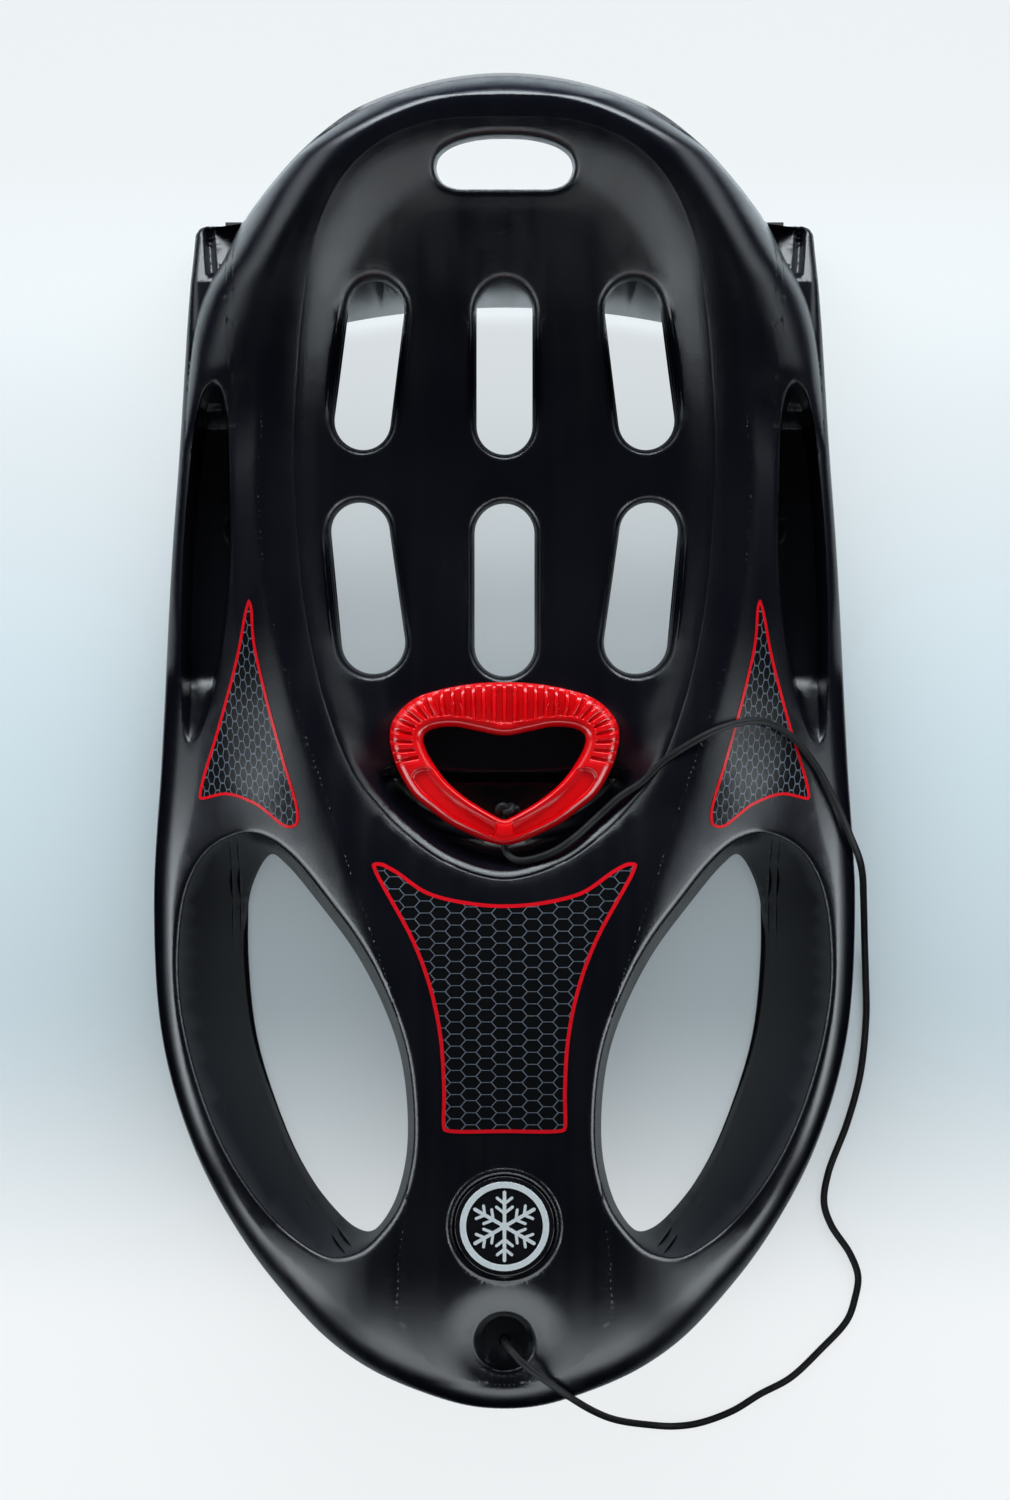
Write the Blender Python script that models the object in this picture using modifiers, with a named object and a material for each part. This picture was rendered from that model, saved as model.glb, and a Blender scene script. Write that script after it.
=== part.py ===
"""Snow bob: a one-piece moulded hull with a bucket seat, two foot openings and a backrest, a pull handle on a tow cord,
printed films, a round badge and two steel runner strips. Metres, +Z up, nose towards -Y, resting on its strips at z = 0.
"""

import math

import bmesh
import bpy
import numpy as np
from mathutils import Matrix, Vector
from mathutils.bvhtree import BVHTree
from mathutils.geometry import delaunay_2d_cdt

# Plan of the hull: the right-hand half of each outline, seen from above
NOSE_Y = -0.4465
REAR_Y = 0.4495
TAIL_Y = 0.3625
TAIL_HALF_WIDTH = 0.2135
TAIL_CORNER = 0.010
TAIL_INNER_X = 0.1755
BODY_HALF_WIDTH = 0.2415

# The half widths that the outlines are drawn for: what lies outside the spine moves with the two sizes above
DRAWN_HALF_WIDTH = 0.2415
DRAWN_TAIL_HALF_WIDTH = 0.2135
WIDEST_Y = -0.105
SPINE_SIDE_X = 0.090
RAIL_INSIDE_X = 0.170
BODY_SIDE = [(0, NOSE_Y), (0.026, -0.4442), (0.058, -0.4348), (0.090, -0.4212), (0.121, -0.4002), (0.152, -0.368),
             (0.180, -0.331), (0.213, -0.269), (0.2347, -0.196), (DRAWN_HALF_WIDTH, WIDEST_Y), (0.2375, -0.002),
             (0.2298, 0.139), (0.2248, 0.205), (0.2190, 0.285)]
RIM_SIDE = [(TAIL_INNER_X, TAIL_Y), (0.1655, 0.3712), (0.1532, 0.3832), (0.128, 0.406), (0.099, 0.4258), (0.049, 0.4432),
            (0, REAR_Y)]
CREST = [(0, 0.4292), (0.0483, 0.4236), (0.0861, 0.4075), (0.1120, 0.3833), (0.1291, 0.360), (0.1412, 0.334),
         (0.1500, 0.300), (0.1575, 0.268), (0.1640, 0.220), (0.1660, 0.173), (0.1594, 0.106), (0.1470, 0.055),
         (0.1199, -0.030), (0.0990, -0.092), (0.0831, -0.138), (0.0716, -0.177), (0.0640, -0.215), (0.0621, -0.250),
         (0.0660, -0.300), (0.0715, -0.345), (0.0680, -0.385), (0.0400, -0.415), (0, -0.4243)]
PANEL = [(0, 0.4165), (0.047, 0.4140), (0.082, 0.4010), (0.106, 0.3800), (0.124, 0.3468), (0.1345, 0.2995),
         (0.1400, 0.250), (0.1426, 0.205), (0.1418, 0.173), (0.1375, 0.115), (0.1300, 0.070), (0.1190, 0.028),
         (0.1021, -0.0118), (0.0837, -0.0355), (0.0640, -0.0545), (0.0370, -0.0725), (0, -0.0825)]
FOOT_FLOOR = [(0.1607, -0.0674, 0.024), (0.1745, -0.0885, 0.010), (0.1795, -0.1190, 0.006), (0.1797, -0.1433, 0.006),
              (0.1735, -0.1946, 0.006), (0.1599, -0.2383, 0.009), (0.1423, -0.2780, 0.015), (0.1200, -0.3087, 0.024),
              (0.1016, -0.3242, 0.034), (0.0905, -0.3254, 0.040), (0.0774, -0.3092, 0.042), (0.0684, -0.2803, 0.042),
              (0.0664, -0.2480, 0.042), (0.0712, -0.2060, 0.042), (0.0822, -0.1730, 0.042), (0.1015, -0.1358, 0.040),
              (0.1276, -0.1007, 0.036), (0.1500, -0.0745, 0.030)]
FOOT_LIP = [(0.1600, -0.0560), (0.1758, -0.0524), (0.1990, -0.0630), (0.2134, -0.0863), (0.2200, -0.1296),
            (0.2178, -0.1723), (0.2045, -0.2265), (0.1850, -0.2719), (0.1602, -0.3075), (0.1392, -0.3265),
            (0.1175, -0.3370), (0.0980, -0.3330), (0.0830, -0.3195), (0.0710, -0.3020), (0.0629, -0.2740),
            (0.0612, -0.2424), (0.0656, -0.2014), (0.0764, -0.1671), (0.0952, -0.1301), (0.1210, -0.0952),
            (0.1430, -0.0690)]
HAND_RECESS = [(0.1945, 0.2555), (0.1883, 0.2412), (0.1860, 0.1877), (0.1862, 0.1241), (0.1920, 0.0725),
               (0.2010, 0.0317), (0.2100, 0.0100), (0.2165, 0.0085), (0.2205, 0.0386), (0.2195, 0.1341),
               (0.2145, 0.1955), (0.2090, 0.2330), (0.2025, 0.2500)]
WELL = [(0, -0.0085), (0.040, -0.0080), (0.072, -0.0050), (0.0860, -0.0110), (0.0790, -0.0280), (0.0580, -0.0455),
        (0.0300, -0.0550), (0, -0.0580)]
HAND_SLOT = [(0, 0.4045), (0.020, 0.4032), (0.035, 0.3990), (0.0430, 0.3930), (0.0447, 0.3860), (0.0410, 0.3790),
             (0.0330, 0.3757), (0.018, 0.3752), (0, 0.3752)]
# Seat slots: the two end centres (x, y) with the radius at each
SEAT_SLOTS = {
    "rear_middle": ((0, 0.2990, 0.0188), (0, 0.2250, 0.0190)),
    "front_middle": ((0, 0.1525, 0.0205), (0, 0.0755, 0.0205)),
    "rear_side": ((0.0860, 0.3005, 0.0185), (0.0965, 0.2280, 0.0190)),
    "front_side": ((0.0985, 0.1538, 0.0198), (0.0897, 0.0782, 0.0216)),
}

# Heights along the hull: (y, height) of each line from the rear to the nose
SEAT_LINE = [(0.44, 0.196), (0.40, 0.178), (0.36, 0.149), (0.30, 0.108), (0.24, 0.080), (0.17, 0.0625), (0.10, 0.0570),
             (0.00, 0.0560), (-0.10, 0.0580)]
UPPER_LINE = [(0.45, 0.204), (0.43, 0.199), (0.40, 0.184), (0.36, 0.157), (0.30, 0.117), (0.24, 0.089), (0.17, 0.072),
              (0.10, 0.067), (0.03, 0.070), (-0.03, 0.079), (-0.08, 0.091), (-0.13, 0.099), (-0.20, 0.105),
              (-0.27, 0.107), (-0.34, 0.105), (-0.39, 0.098), (-0.45, 0.084)]
RIM_RISE = [(0.45, 0.006), (0.36, 0.012), (0.24, 0.013), (0.10, 0.013), (0.00, 0.010), (-0.08, 0.004), (-0.14, 0)]
OUTER_FALL = [(0.45, 1.9), (0.31, 1.75), (0.26, 1.15), (0.20, 0.72), (0.10, 0.60), (0.03, 0.42), (-0.03, 0.30),
              (-0.08, 0.36), (-0.16, 0.45), (-0.30, 0.36), (-0.45, 0.45)]
DECK_LINE = [(0.37, 0.079), (0.30, 0.077), (0.22, 0.069), (0.10, 0.064), (0.00, 0.066), (-0.06, 0.075), (-0.12, 0.081),
             (-0.20, 0.084), (-0.30, 0.083), (-0.36, 0.077), (-0.45, 0.066)]
FLANK_FOOT = [(0.37, 0.012), (-0.22, 0.012), (-0.32, 0.018), (-0.39, 0.032), (-0.45, 0.048)]
KEEL_RISE = [(0.37, 0), (-0.20, 0), (-0.26, 0.005), (-0.31, 0.016), (-0.35, 0.030)]
SHOULDER = [(0.37, 0.006), (0.33, 0.006), (0.27, 0.012), (0.10, 0.014), (-0.10, 0.014), (-0.30, 0.016), (-0.45, 0.020)]

# The moulding's wall, edges and hollows
WALL = 0.0035
DRAFT = 0.0025
CREST_ROUNDING = 0.007
BANK_WIDTH = 0.030
PANEL_SLOPE_WIDTH = 0.036
DECK_BLEND = 0.006
TAIL_EDGE_RADIUS = 0.005
RIM_RADIUS = 0.013
RIM_DEPTH = 0.040
RIM_EDGE = 0.009
EDGE_LAND = 0.0008
LEAST_WALL = 0.0018
SLOT_EDGE_RADIUS = 0.005
SLOT_DEPTH = 0.012
FOOT_LIP_RADIUS = 0.005
RECESS_FLOOR = 0.024
RECESS_WALL = 0.005
WELL_DEPTH = 0.018
WELL_WALL = 0.010
STERN_Y = 0.3130
STERN_TOP_Y = 0.3225
STERN_RADIUS = 0.58
STERN_FOOT = 0.010
ROOT = 0.55 * WALL

# Nose hole and badge
NOSE_HOLE_Y = -0.3952
NOSE_CUP_RADIUS = 0.0189
NOSE_CUP_DEPTH = 0.016
NOSE_CUP_LIP = 0.0055
BADGE_Y = -0.3151
BADGE_RADIUS = 0.0335
BADGE_CLEARANCE = 0.0008
BADGE_SEAT_RADIUS = BADGE_RADIUS + BADGE_CLEARANCE
BADGE_SEAT_DRAFT = 0.0006
BADGE_THICKNESS = 0.0035
BADGE_SEAT_DEPTH = 0.0022
BADGE_COLLAR_WIDTH = 0.0045
BADGE_COLLAR_RISE = 0.0012
EMBLEM_RADIUS = 0.0300
EMBLEM_THICKNESS = 0.0009
EMBLEM_RING_WIDTH = 0.0042
EMBLEM_BAR_WIDTH = 0.0032
CHAMFER = 0.0006

# Keels, runner strips and rivets
KEEL_PATH = [(0.1840, 0.3000), (0.1840, 0.0000), (0.1848, -0.0900), (0.1848, -0.1400), (0.1790, -0.1950),
             (0.1650, -0.2420), (0.1470, -0.2830), (0.1250, -0.3150), (0.1050, -0.3340)]
KEEL_REAR_Y = TAIL_Y - 2 * DRAFT
KEEL_STEP = 0.030
KEEL_WEB = 0.005
KEEL_DRAFT = 0.001
KEEL_WIDTH = 0.014
KEEL_FLANGE = 0.004
KEEL_OVERLAP = 0.001
STRIP_WIDTH = 0.011
STRIP_THICKNESS = 0.002
STRIP_TOP = 0.073
RIVET_HEAD_RADIUS = 0.0036
RIVET_SHANK_RADIUS = 0.0018
RIVET_LENGTH = 0.0046
RIVET_STATIONS = [0.300, 0.110, -0.080, -0.230]
RIVET_SIDES = 12
STRIP_BEND = 0.006
GAP = 0.0003

# Films: outlines of the right-hand half or side
FILM = 0.0005
FRONT_FILM = [(0, -0.0995), (0.0250, -0.0975), (0.0522, -0.0905), (0.0737, -0.0760), (0.0840, -0.0712),
              (0.0892, -0.0723), (0.0885, -0.0765), (0.0629, -0.1240), (0.0510, -0.1560), (0.0440, -0.1900),
              (0.0418, -0.2250), (0.0416, -0.2500), (0.0400, -0.2518), (0, -0.2526)]
SIDE_FILM = [(0.1736, 0.1067), (0.1760, 0.1010), (0.1826, 0.0682), (0.1942, 0.0242), (0.2076, -0.0240),
             (0.2070, -0.0290), (0.1888, -0.0262), (0.1690, -0.0330), (0.1478, -0.0482), (0.1405, -0.0465),
             (0.1392, -0.0380), (0.1500, 0.0000), (0.1610, 0.0400), (0.1695, 0.0789), (0.1715, 0.1030)]

# Handle: pairs of outer and inner outline points of the right-hand half, from the grip to the tip
HANDLE_PAIRS = [((0, 0.0509), (0, 0.0145)), ((0.0264, 0.0491), (0.0180, 0.0176)), ((0.0460, 0.0451), (0.0320, 0.0203)),
                ((0.0600, 0.0402), (0.0440, 0.0200)), ((0.0705, 0.0321), (0.0510, 0.0178)),
                ((0.0767, 0.0230), (0.0543, 0.0148)), ((0.0782, 0.0132), (0.0550, 0.0105)),
                ((0.0763, 0.0017), (0.0530, 0.0040)), ((0.0713, -0.0115), (0.0480, -0.0050)),
                ((0.0623, -0.0262), (0.0400, -0.0158)), ((0.0508, -0.0361), (0.0315, -0.0240)),
                ((0.0377, -0.0459), (0.0215, -0.0315)), ((0.0230, -0.0533), (0.0125, -0.0370)),
                ((0.0097, -0.0587), (0.0050, -0.0412)), ((0, -0.0604), (0, -0.0430))]
HANDLE_THICKNESS = 0.021
HANDLE_TILT = 6.0
HANDLE_REST_GAP = 0.0004
GRIP_LAST_PAIR = 7
RING_STEP = 0.011
SECTION_POINTS = 12
SECTION_SQUARENESS = 2.5
POCKET_FIRST_PAIR = 8
POCKET_SHARE = 0.55
GRIP_RIB_PITCH = 0.0069
GRIP_RIB_DEPTH = 0.0012
POCKET_DEPTH = 0.0045
WEB_HALF_WIDTH = 0.0050

# Tow cord
CORD_DIAMETER = 0.005
CORD_CLEARANCE = 0.0006
CORD_POINT_STEP = 0.0136
KNOT_RADIUS = 0.0068
KNOT_LOBE = 0.08
KNOT_FLATNESS = 0.85
KNOT_STANDOFF = 0.0012

# The cord's route, from the knot in the handle over the right rail, down to the floor and up to the nose hole
CORD_ROUTE = [(0, -0.0419, 0.0755), (0, -0.0530, 0.0767), (0, -0.0612, 0.0777), (0.0028, -0.0670, 0.0802),
              (0.0088, -0.0701, 0.0834), (0.0170, -0.0697, 0.0855), (0.0335, -0.0640, 0.0868), (0.0470, -0.0550, 0.0855),
              (0.0628, -0.0411, 0.0802), (0.0789, -0.0267, 0.0792), (0.0932, -0.0172, 0.0785), (0.1081, -0.0029, 0.0797),
              (0.1242, 0.0079, 0.0840), (0.1418, 0.0174, 0.0857), (0.1589, 0.0228, 0.0802), (0.1735, 0.0241, 0.0754),
              (0.1879, 0.0188, 0.0717), (0.1989, 0.0100, 0.0707), (0.2117, -0.0064, 0.0710), (0.2245, -0.0301, 0.0730),
              (0.2348, -0.0539, 0.0735), (0.2413, -0.0690, 0.0672), (0.2449, -0.0817, 0.0520), (0.2470, -0.0950, 0.0335),
              (0.2488, -0.1100, 0.0168), (0.2500, -0.1290, 0.0070), (0.2510, -0.1520, 0.0036), (0.2514, -0.1818, 0.0028),
              (0.2472, -0.2215, 0.0028), (0.2382, -0.2549, 0.0028), (0.2249, -0.2904, 0.0028), (0.2222, -0.3105, 0.0028),
              (0.2271, -0.3258, 0.0028), (0.2403, -0.3459, 0.0028), (0.2458, -0.3613, 0.0028), (0.2437, -0.3766, 0.0028),
              (0.2382, -0.3919, 0.0028), (0.2194, -0.4127, 0.0028), (0.1985, -0.4322, 0.0028), (0.1777, -0.4434, 0.0028),
              (0.1582, -0.4552, 0.0028), (0.1352, -0.4635, 0.0029), (0.1179, -0.4656, 0.0036), (0.1000, -0.4633, 0.0118),
              (0.0768, -0.4560, 0.0370), (0.0600, -0.4455, 0.0640), (0.0443, -0.4332, 0.0850), (0.0306, -0.4224, 0.0955),
              (0.0192, -0.4139, 0.0985), (0.0104, -0.4065, 0.0975), (0.0048, -0.4005, 0.0935), (0.0012, -0.3964, 0.0875),
              (0, -0.3952, 0.0825), (0, -0.3952, 0.0775)]

# How closely straight edges follow the curves
OUTLINE_TOLERANCE = 0.0006
LONGEST_EDGE = 0.036
UPPER_TOLERANCE = 0.0018
LOWER_TOLERANCE = 0.0050
PLAN_SPACING = 0.036
REFINING_TURNS = 1
SHORTEST_SPLIT = 0.009

RED = (0.78, 0.0, 0.012)
BLACK = (0.012, 0.013, 0.015)
FILM_BLACK = (0.010, 0.010, 0.012)
SILVER = (0.75, 0.77, 0.80)
STEEL = (0.020, 0.021, 0.023)
ZINC = (0.45, 0.46, 0.47)


def smooth(points, step, closed=False, mirrored=()):
    """Points about a step apart on a smooth curve through the given ones, whose ends may meet their mirror image."""
    p = np.array(points, float)
    if closed:
        p = np.vstack([p[-1:], p, p[:2]])
    elif mirrored:
        flip = np.array([-1.0 if column in mirrored else 1.0 for column in range(p.shape[1])])
        p = np.vstack([p[1:2] * flip, p, p[-2:-1] * flip])
    else:
        p = np.vstack([2 * p[0] - p[1], p, 2 * p[-1] - p[-2]])
    out = []
    for a, b, c, d in zip(p, p[1:], p[2:], p[3:]):
        t1 = math.dist(a, b) ** 0.5
        t2 = t1 + math.dist(b, c) ** 0.5
        t3 = t2 + math.dist(c, d) ** 0.5
        count = max(1, round(math.dist(b, c) / step))
        for t in np.linspace(t1, t2, count, endpoint=False):
            ab = (a * (t1 - t) + b * t) / t1
            bc = (b * (t2 - t) + c * (t - t1)) / (t2 - t1)
            cd = (c * (t3 - t) + d * (t - t2)) / (t3 - t2)
            ac = (ab * (t2 - t) + bc * t) / t2
            bd = (bc * (t3 - t) + cd * (t - t1)) / (t3 - t1)
            out.append((ac * (t2 - t) + bd * (t - t1)) / (t2 - t1))
    if not closed:
        out.append(p[-2])
    return np.array(out)


def thinned(line, within, longest):
    """The line with only the points that its shape needs, none further apart than the longest step."""
    keep = {0, len(line) - 1}
    spans = [(0, len(line) - 1)]
    while spans:
        a, b = spans.pop()
        if b - a < 2:
            continue
        along = line[b, :2] - line[a, :2]
        rest = line[a + 1:b, :2] - line[a, :2]
        length = max(np.hypot(*along), 1e-9)
        away = np.abs(along[0] * rest[:, 1] - along[1] * rest[:, 0]) / length
        if length < 1e-6:
            away = np.hypot(*rest.T)
        worst = int(away.argmax())
        if away[worst] <= within and length <= longest:
            continue
        middle = a + 1 + worst if away[worst] > within else (a + b) // 2
        keep.add(middle)
        spans += [(a, middle), (middle, b)]
    return line[sorted(keep)]


class Outline:
    """A line seen from above, closed or ending on the mirror plane, with values that run along it."""

    def __init__(self, line, closed, values=None):
        self.closed = closed
        self.points = line[:, :2]
        self.values = line[:, 2:] if values is None else values
        ends = np.vstack([self.points, self.points[:1]]) if closed else self.points
        self.start, self.end = ends[:-1], ends[1:]
        if closed:
            self.polygon = self.points
        else:
            far = [(-1.0, self.points[-1][1]), (-1.0, self.points[0][1])]
            self.polygon = np.vstack([self.points, far])

    def nearest(self, p):
        """Distance from each point to the line, and the line's values at the nearest place."""
        span = self.end - self.start
        size = np.maximum((span ** 2).sum(1), 1e-12)
        distance = np.empty(len(p))
        place = np.empty(len(p), int)
        part = np.empty(len(p))
        for k in range(0, len(p), 8000):
            q = p[k:k + 8000, None, :] - self.start
            t = np.clip((q * span).sum(2) / size, 0, 1)
            away = ((q - t[..., None] * span) ** 2).sum(2)
            best = away.argmin(1)
            rows = np.arange(len(best))
            distance[k:k + 8000] = np.sqrt(away[rows, best])
            place[k:k + 8000] = best
            part[k:k + 8000] = t[rows, best]
        if not self.values.shape[1]:
            return distance, None
        following = (place + 1) % len(self.points)
        value = self.values[place] * (1 - part[:, None]) + self.values[following] * part[:, None]
        return distance, value

    def holds(self, p):
        """Whether each point lies inside."""
        inside = np.zeros(len(p), bool)
        a = self.polygon
        b = np.roll(a, -1, axis=0)
        for (x1, y1), (x2, y2) in zip(a, b):
            if y1 != y2:
                crosses = (y1 > p[:, 1]) != (y2 > p[:, 1])
                inside ^= crosses & (p[:, 0] < (x2 - x1) * (p[:, 1] - y1) / (y2 - y1) + x1)
        return inside

    def moved(self, distance):
        """The line's points moved sideways, to the right of its direction."""
        before = np.vstack([self.points[-1:] if self.closed else self.points[:1] * (-1, 1), self.points])[:-1]
        after = np.vstack([self.points, self.points[:1] if self.closed else self.points[-1:] * (-1, 1)])[1:]
        if not self.closed:
            before[0] = self.points[1] * (-1, 1)
            after[-1] = self.points[-2] * (-1, 1)
        along = after - before
        side = np.stack([along[:, 1], -along[:, 0]], 1) / np.maximum(np.hypot(*along.T), 1e-9)[:, None]
        moved = self.points + side * distance
        if not self.closed:
            moved[[0, -1], 0] = 0
        return moved


class Line:
    """A height, or another value, that changes smoothly along the hull."""

    def __init__(self, table):
        line = smooth(sorted(table), 0.004)
        self.y, self.value = line[:, 0], line[:, 1]

    def __call__(self, y):
        return np.interp(y, self.y, self.value)


def step(x):
    x = np.clip(x, 0, 1)
    return x * x * (3 - 2 * x)


def larger(a, b, blend):
    """The larger of two heights, rounded where they meet."""
    return 0.5 * (a + b + np.sqrt((a - b) ** 2 + blend ** 2)) - 0.15 * blend


def fitted(points):
    """Drawn points moved out with the hull's sides: not at all on the spine, and all the way on the rails."""
    moved = []
    for x, y, *rest in points:
        rearwards = float(step((y - WIDEST_Y) / (TAIL_Y - WIDEST_Y)))
        outwards = (BODY_HALF_WIDTH - DRAWN_HALF_WIDTH) * (1 - rearwards)
        outwards += (TAIL_HALF_WIDTH - DRAWN_TAIL_HALF_WIDTH) * rearwards
        share = float(np.clip((x - SPINE_SIDE_X) / (RAIL_INSIDE_X - SPINE_SIDE_X), 0, 1))
        moved.append((x + outwards * share, y, *rest))
    return moved


def outline_of(points, closed, within=OUTLINE_TOLERANCE, longest=LONGEST_EDGE):
    line = smooth(fitted(points), 0.002, closed=closed, mirrored=() if closed else (0,))
    if closed:
        line = np.vstack([line, line[:1]])
    line = thinned(line, within, longest)
    return Outline(line[:-1] if closed else line, closed)


def capsule(first, second, steps=5):
    """The outline of a slot with round ends of unlike radius, from its two end centres."""
    (x1, y1, r1), (x2, y2, r2) = first, second
    turn = math.atan2(y1 - y2, x1 - x2)
    lean = math.asin((r1 - r2) / math.hypot(x1 - x2, y1 - y2))
    points = []
    for x, y, r, middle, half in ((x1, y1, r1, turn, math.pi / 2 + lean), (x2, y2, r2, turn + math.pi, math.pi / 2 - lean)):
        for k in range(steps + 1):
            angle = middle - half + 2 * half * k / steps
            points.append((x + r * math.cos(angle), y + r * math.sin(angle)))
    return Outline(np.array(points), True, np.empty((len(points), 0)))


seat_line, upper_line, rim_rise = Line(SEAT_LINE), Line(UPPER_LINE), Line(RIM_RISE)
outer_fall, deck_line, shoulder = Line(OUTER_FALL), Line(DECK_LINE), Line(SHOULDER)
flank_foot, keel_rise = Line(FLANK_FOOT), Line(KEEL_RISE)

crest = outline_of(CREST, False)
panel = outline_of(PANEL, False)
well = outline_of(WELL, False)
foot_floor = outline_of(FOOT_FLOOR, True)
foot_lip = outline_of(FOOT_LIP, True)
hand_recess = outline_of(HAND_RECESS, True)
front_film = outline_of(FRONT_FILM, False)
side_film = outline_of(SIDE_FILM, True)
hand_slot = outline_of(HAND_SLOT, False)
hand_slot = Outline(np.vstack([hand_slot.points, hand_slot.points[-2:0:-1] * (-1, 1)]), True)
slots = {name: capsule(*fitted(ends)) for name, ends in SEAT_SLOTS.items()}
slots["hand"] = hand_slot
keel_route = fitted(KEEL_PATH)
tail_inner_x = fitted([(TAIL_INNER_X, TAIL_Y)])[0][0]
bore_steps = np.arange(12) * math.pi / 6 + math.pi / 2
bore_radius = CORD_DIAMETER / 2 + 2 * CORD_CLEARANCE
nose_bore = Outline(np.stack([bore_radius * np.cos(bore_steps), NOSE_HOLE_Y + bore_radius * np.sin(bore_steps)], 1), True)


def tail_corner():
    """The tail's rounded outer corner, from the side to the rear edge."""
    angles = np.linspace(0, math.pi / 2, 5)
    x = TAIL_HALF_WIDTH + TAIL_CORNER * (np.cos(angles) - 1)
    y = TAIL_Y + TAIL_CORNER * (np.sin(angles) - 1)
    return np.stack([x, y], 1)


def outside_crest(p):
    """Height of the surface that falls outwards from the crest to the deck."""
    y = p[:, 1]
    out_of_crest, _ = crest.nearest(p)
    top = upper_line(np.clip(y, CREST[-1][1], CREST[0][1])) + rim_rise(y)
    z = top - outer_fall(y) * (np.hypot(out_of_crest, CREST_ROUNDING) - CREST_ROUNDING)
    has_deck = step((TAIL_Y + 0.004 - y) / 0.004)
    return z + (larger(z, deck_line(y), DECK_BLEND) - z) * has_deck


def edge_of_hull():
    """The hull's outer edge from the nose to the rear, with the height of its foot and its rounding along it."""
    side = smooth(fitted(BODY_SIDE) + [tuple(tail_corner()[0])], 0.002, mirrored=(0,))
    side = thinned(side[side[:, 1] <= tail_corner()[0][1]], OUTLINE_TOLERANCE, LONGEST_EDGE)
    corner = tail_corner()[1:]
    rim = thinned(smooth(fitted(RIM_SIDE), 0.002, mirrored=(0,)), OUTLINE_TOLERANCE, LONGEST_EDGE)
    body = np.vstack([side, corner, [(tail_inner_x + 0.002, TAIL_Y)]])
    body_values = np.stack([flank_foot(body[:, 1]), shoulder(body[:, 1])], 1)
    body_values[len(side) + 1:, 1] = TAIL_EDGE_RADIUS
    rim_crest = upper_line(rim[:, 1]) + rim_rise(rim[:, 1])
    rim_foot = np.minimum(rim_crest - RIM_DEPTH, outside_crest(rim) - RIM_EDGE)
    rim_values = np.stack([rim_foot, np.full(len(rim), RIM_RADIUS)], 1)
    return Outline(np.vstack([body, rim]), False, np.vstack([body_values, rim_values]))


edge = edge_of_hull()
holes = [foot_floor, nose_bore, *slots.values()]


def skin(p):
    """Height of the moulding's upper surface before its edges are turned down."""
    y = p[:, 1]
    out_of_crest, _ = crest.nearest(p)
    from_panel, _ = panel.nearest(p)
    rise = rim_rise(y) * step(1 - out_of_crest / BANK_WIDTH)
    sunk = step(from_panel / PANEL_SLOPE_WIDTH) * panel.holds(p)
    within = upper_line(y) + (seat_line(y) - upper_line(y)) * sunk + rise
    z = np.where(crest.holds(p), within, outside_crest(p))
    z = tail_ridge(p, z)
    z = hollow(p, z, hand_recess, RECESS_WALL, recess_depth(y, z))
    z = hollow(p, z, well, WELL_WALL, WELL_DEPTH)
    return nose_details(p, z)


def tail_ridge(p, z):
    """A raised line along the tail's outer edge with a valley inside it."""
    from_edge, _ = edge.nearest(p)
    there = step((p[:, 1] - 0.285) / 0.03) * (p[:, 0] > tail_inner_x)
    valley = np.exp(-((from_edge - 0.0135) / 0.0030) ** 2)
    behind = step((TAIL_Y - p[:, 1]) / 0.010)
    return z - 0.005 * valley * there * behind


def recess_depth(y, z):
    """The hand recess drops in two steps at its rear end and slopes up at its front end."""
    ledge = 0.35 * step((0.2560 - y) / 0.018)
    drop = 0.65 * step((0.2360 - y) / 0.010)
    front = step((y - 0.004) / 0.055)
    return (z - RECESS_FLOOR) * (ledge + drop) * front


def hollow(p, z, outline, wall, depth):
    inside = outline.holds(p)
    distance, _ = outline.nearest(p)
    return z - depth * step(distance / wall) * inside


def nose_details(p, z):
    """The cup round the cord's hole and the badge's round seat."""
    cup_z = float(upper_line(NOSE_HOLE_Y)) - NOSE_CUP_DEPTH
    r = np.hypot(p[:, 0], p[:, 1] - NOSE_HOLE_Y)
    lip = np.clip((NOSE_CUP_RADIUS + NOSE_CUP_LIP - r) / NOSE_CUP_LIP, 0, 1)
    z = z - NOSE_CUP_LIP * (1 - np.sqrt(1 - lip ** 2))
    wall = np.clip((NOSE_CUP_RADIUS - r) / DRAFT, 0, 1)
    z = np.where(wall > 0, z + (cup_z - z) * wall, z)
    seat_z = badge_seat_z()
    r = np.hypot(p[:, 0], p[:, 1] - BADGE_Y)
    collar = np.clip((r - BADGE_SEAT_RADIUS - BADGE_SEAT_DRAFT) / BADGE_COLLAR_WIDTH, 0, 1)
    raised = z + BADGE_COLLAR_RISE * np.sin(math.pi * collar)
    in_seat = np.clip((BADGE_SEAT_RADIUS + BADGE_SEAT_DRAFT - r) / BADGE_SEAT_DRAFT, 0, 1)
    return raised + (seat_z - raised) * in_seat


def badge_seat_z():
    return float(upper_line(BADGE_Y)) - BADGE_SEAT_DEPTH


def turned_down(z, distance, foot, wall, radius):
    """An edge that rounds over and runs down a drafted wall to its foot at distance 0."""
    radius = np.minimum(radius, np.maximum(z - foot, 0.001) * 0.9)
    over = np.clip((wall + radius - distance) / radius, 0, 1)
    rounded = z - radius * (1 - np.sqrt(1 - over ** 2))
    falling = foot + (z - radius - foot) * np.clip(distance / wall, 0, 1)
    return np.where(distance < wall, falling, rounded)


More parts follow.
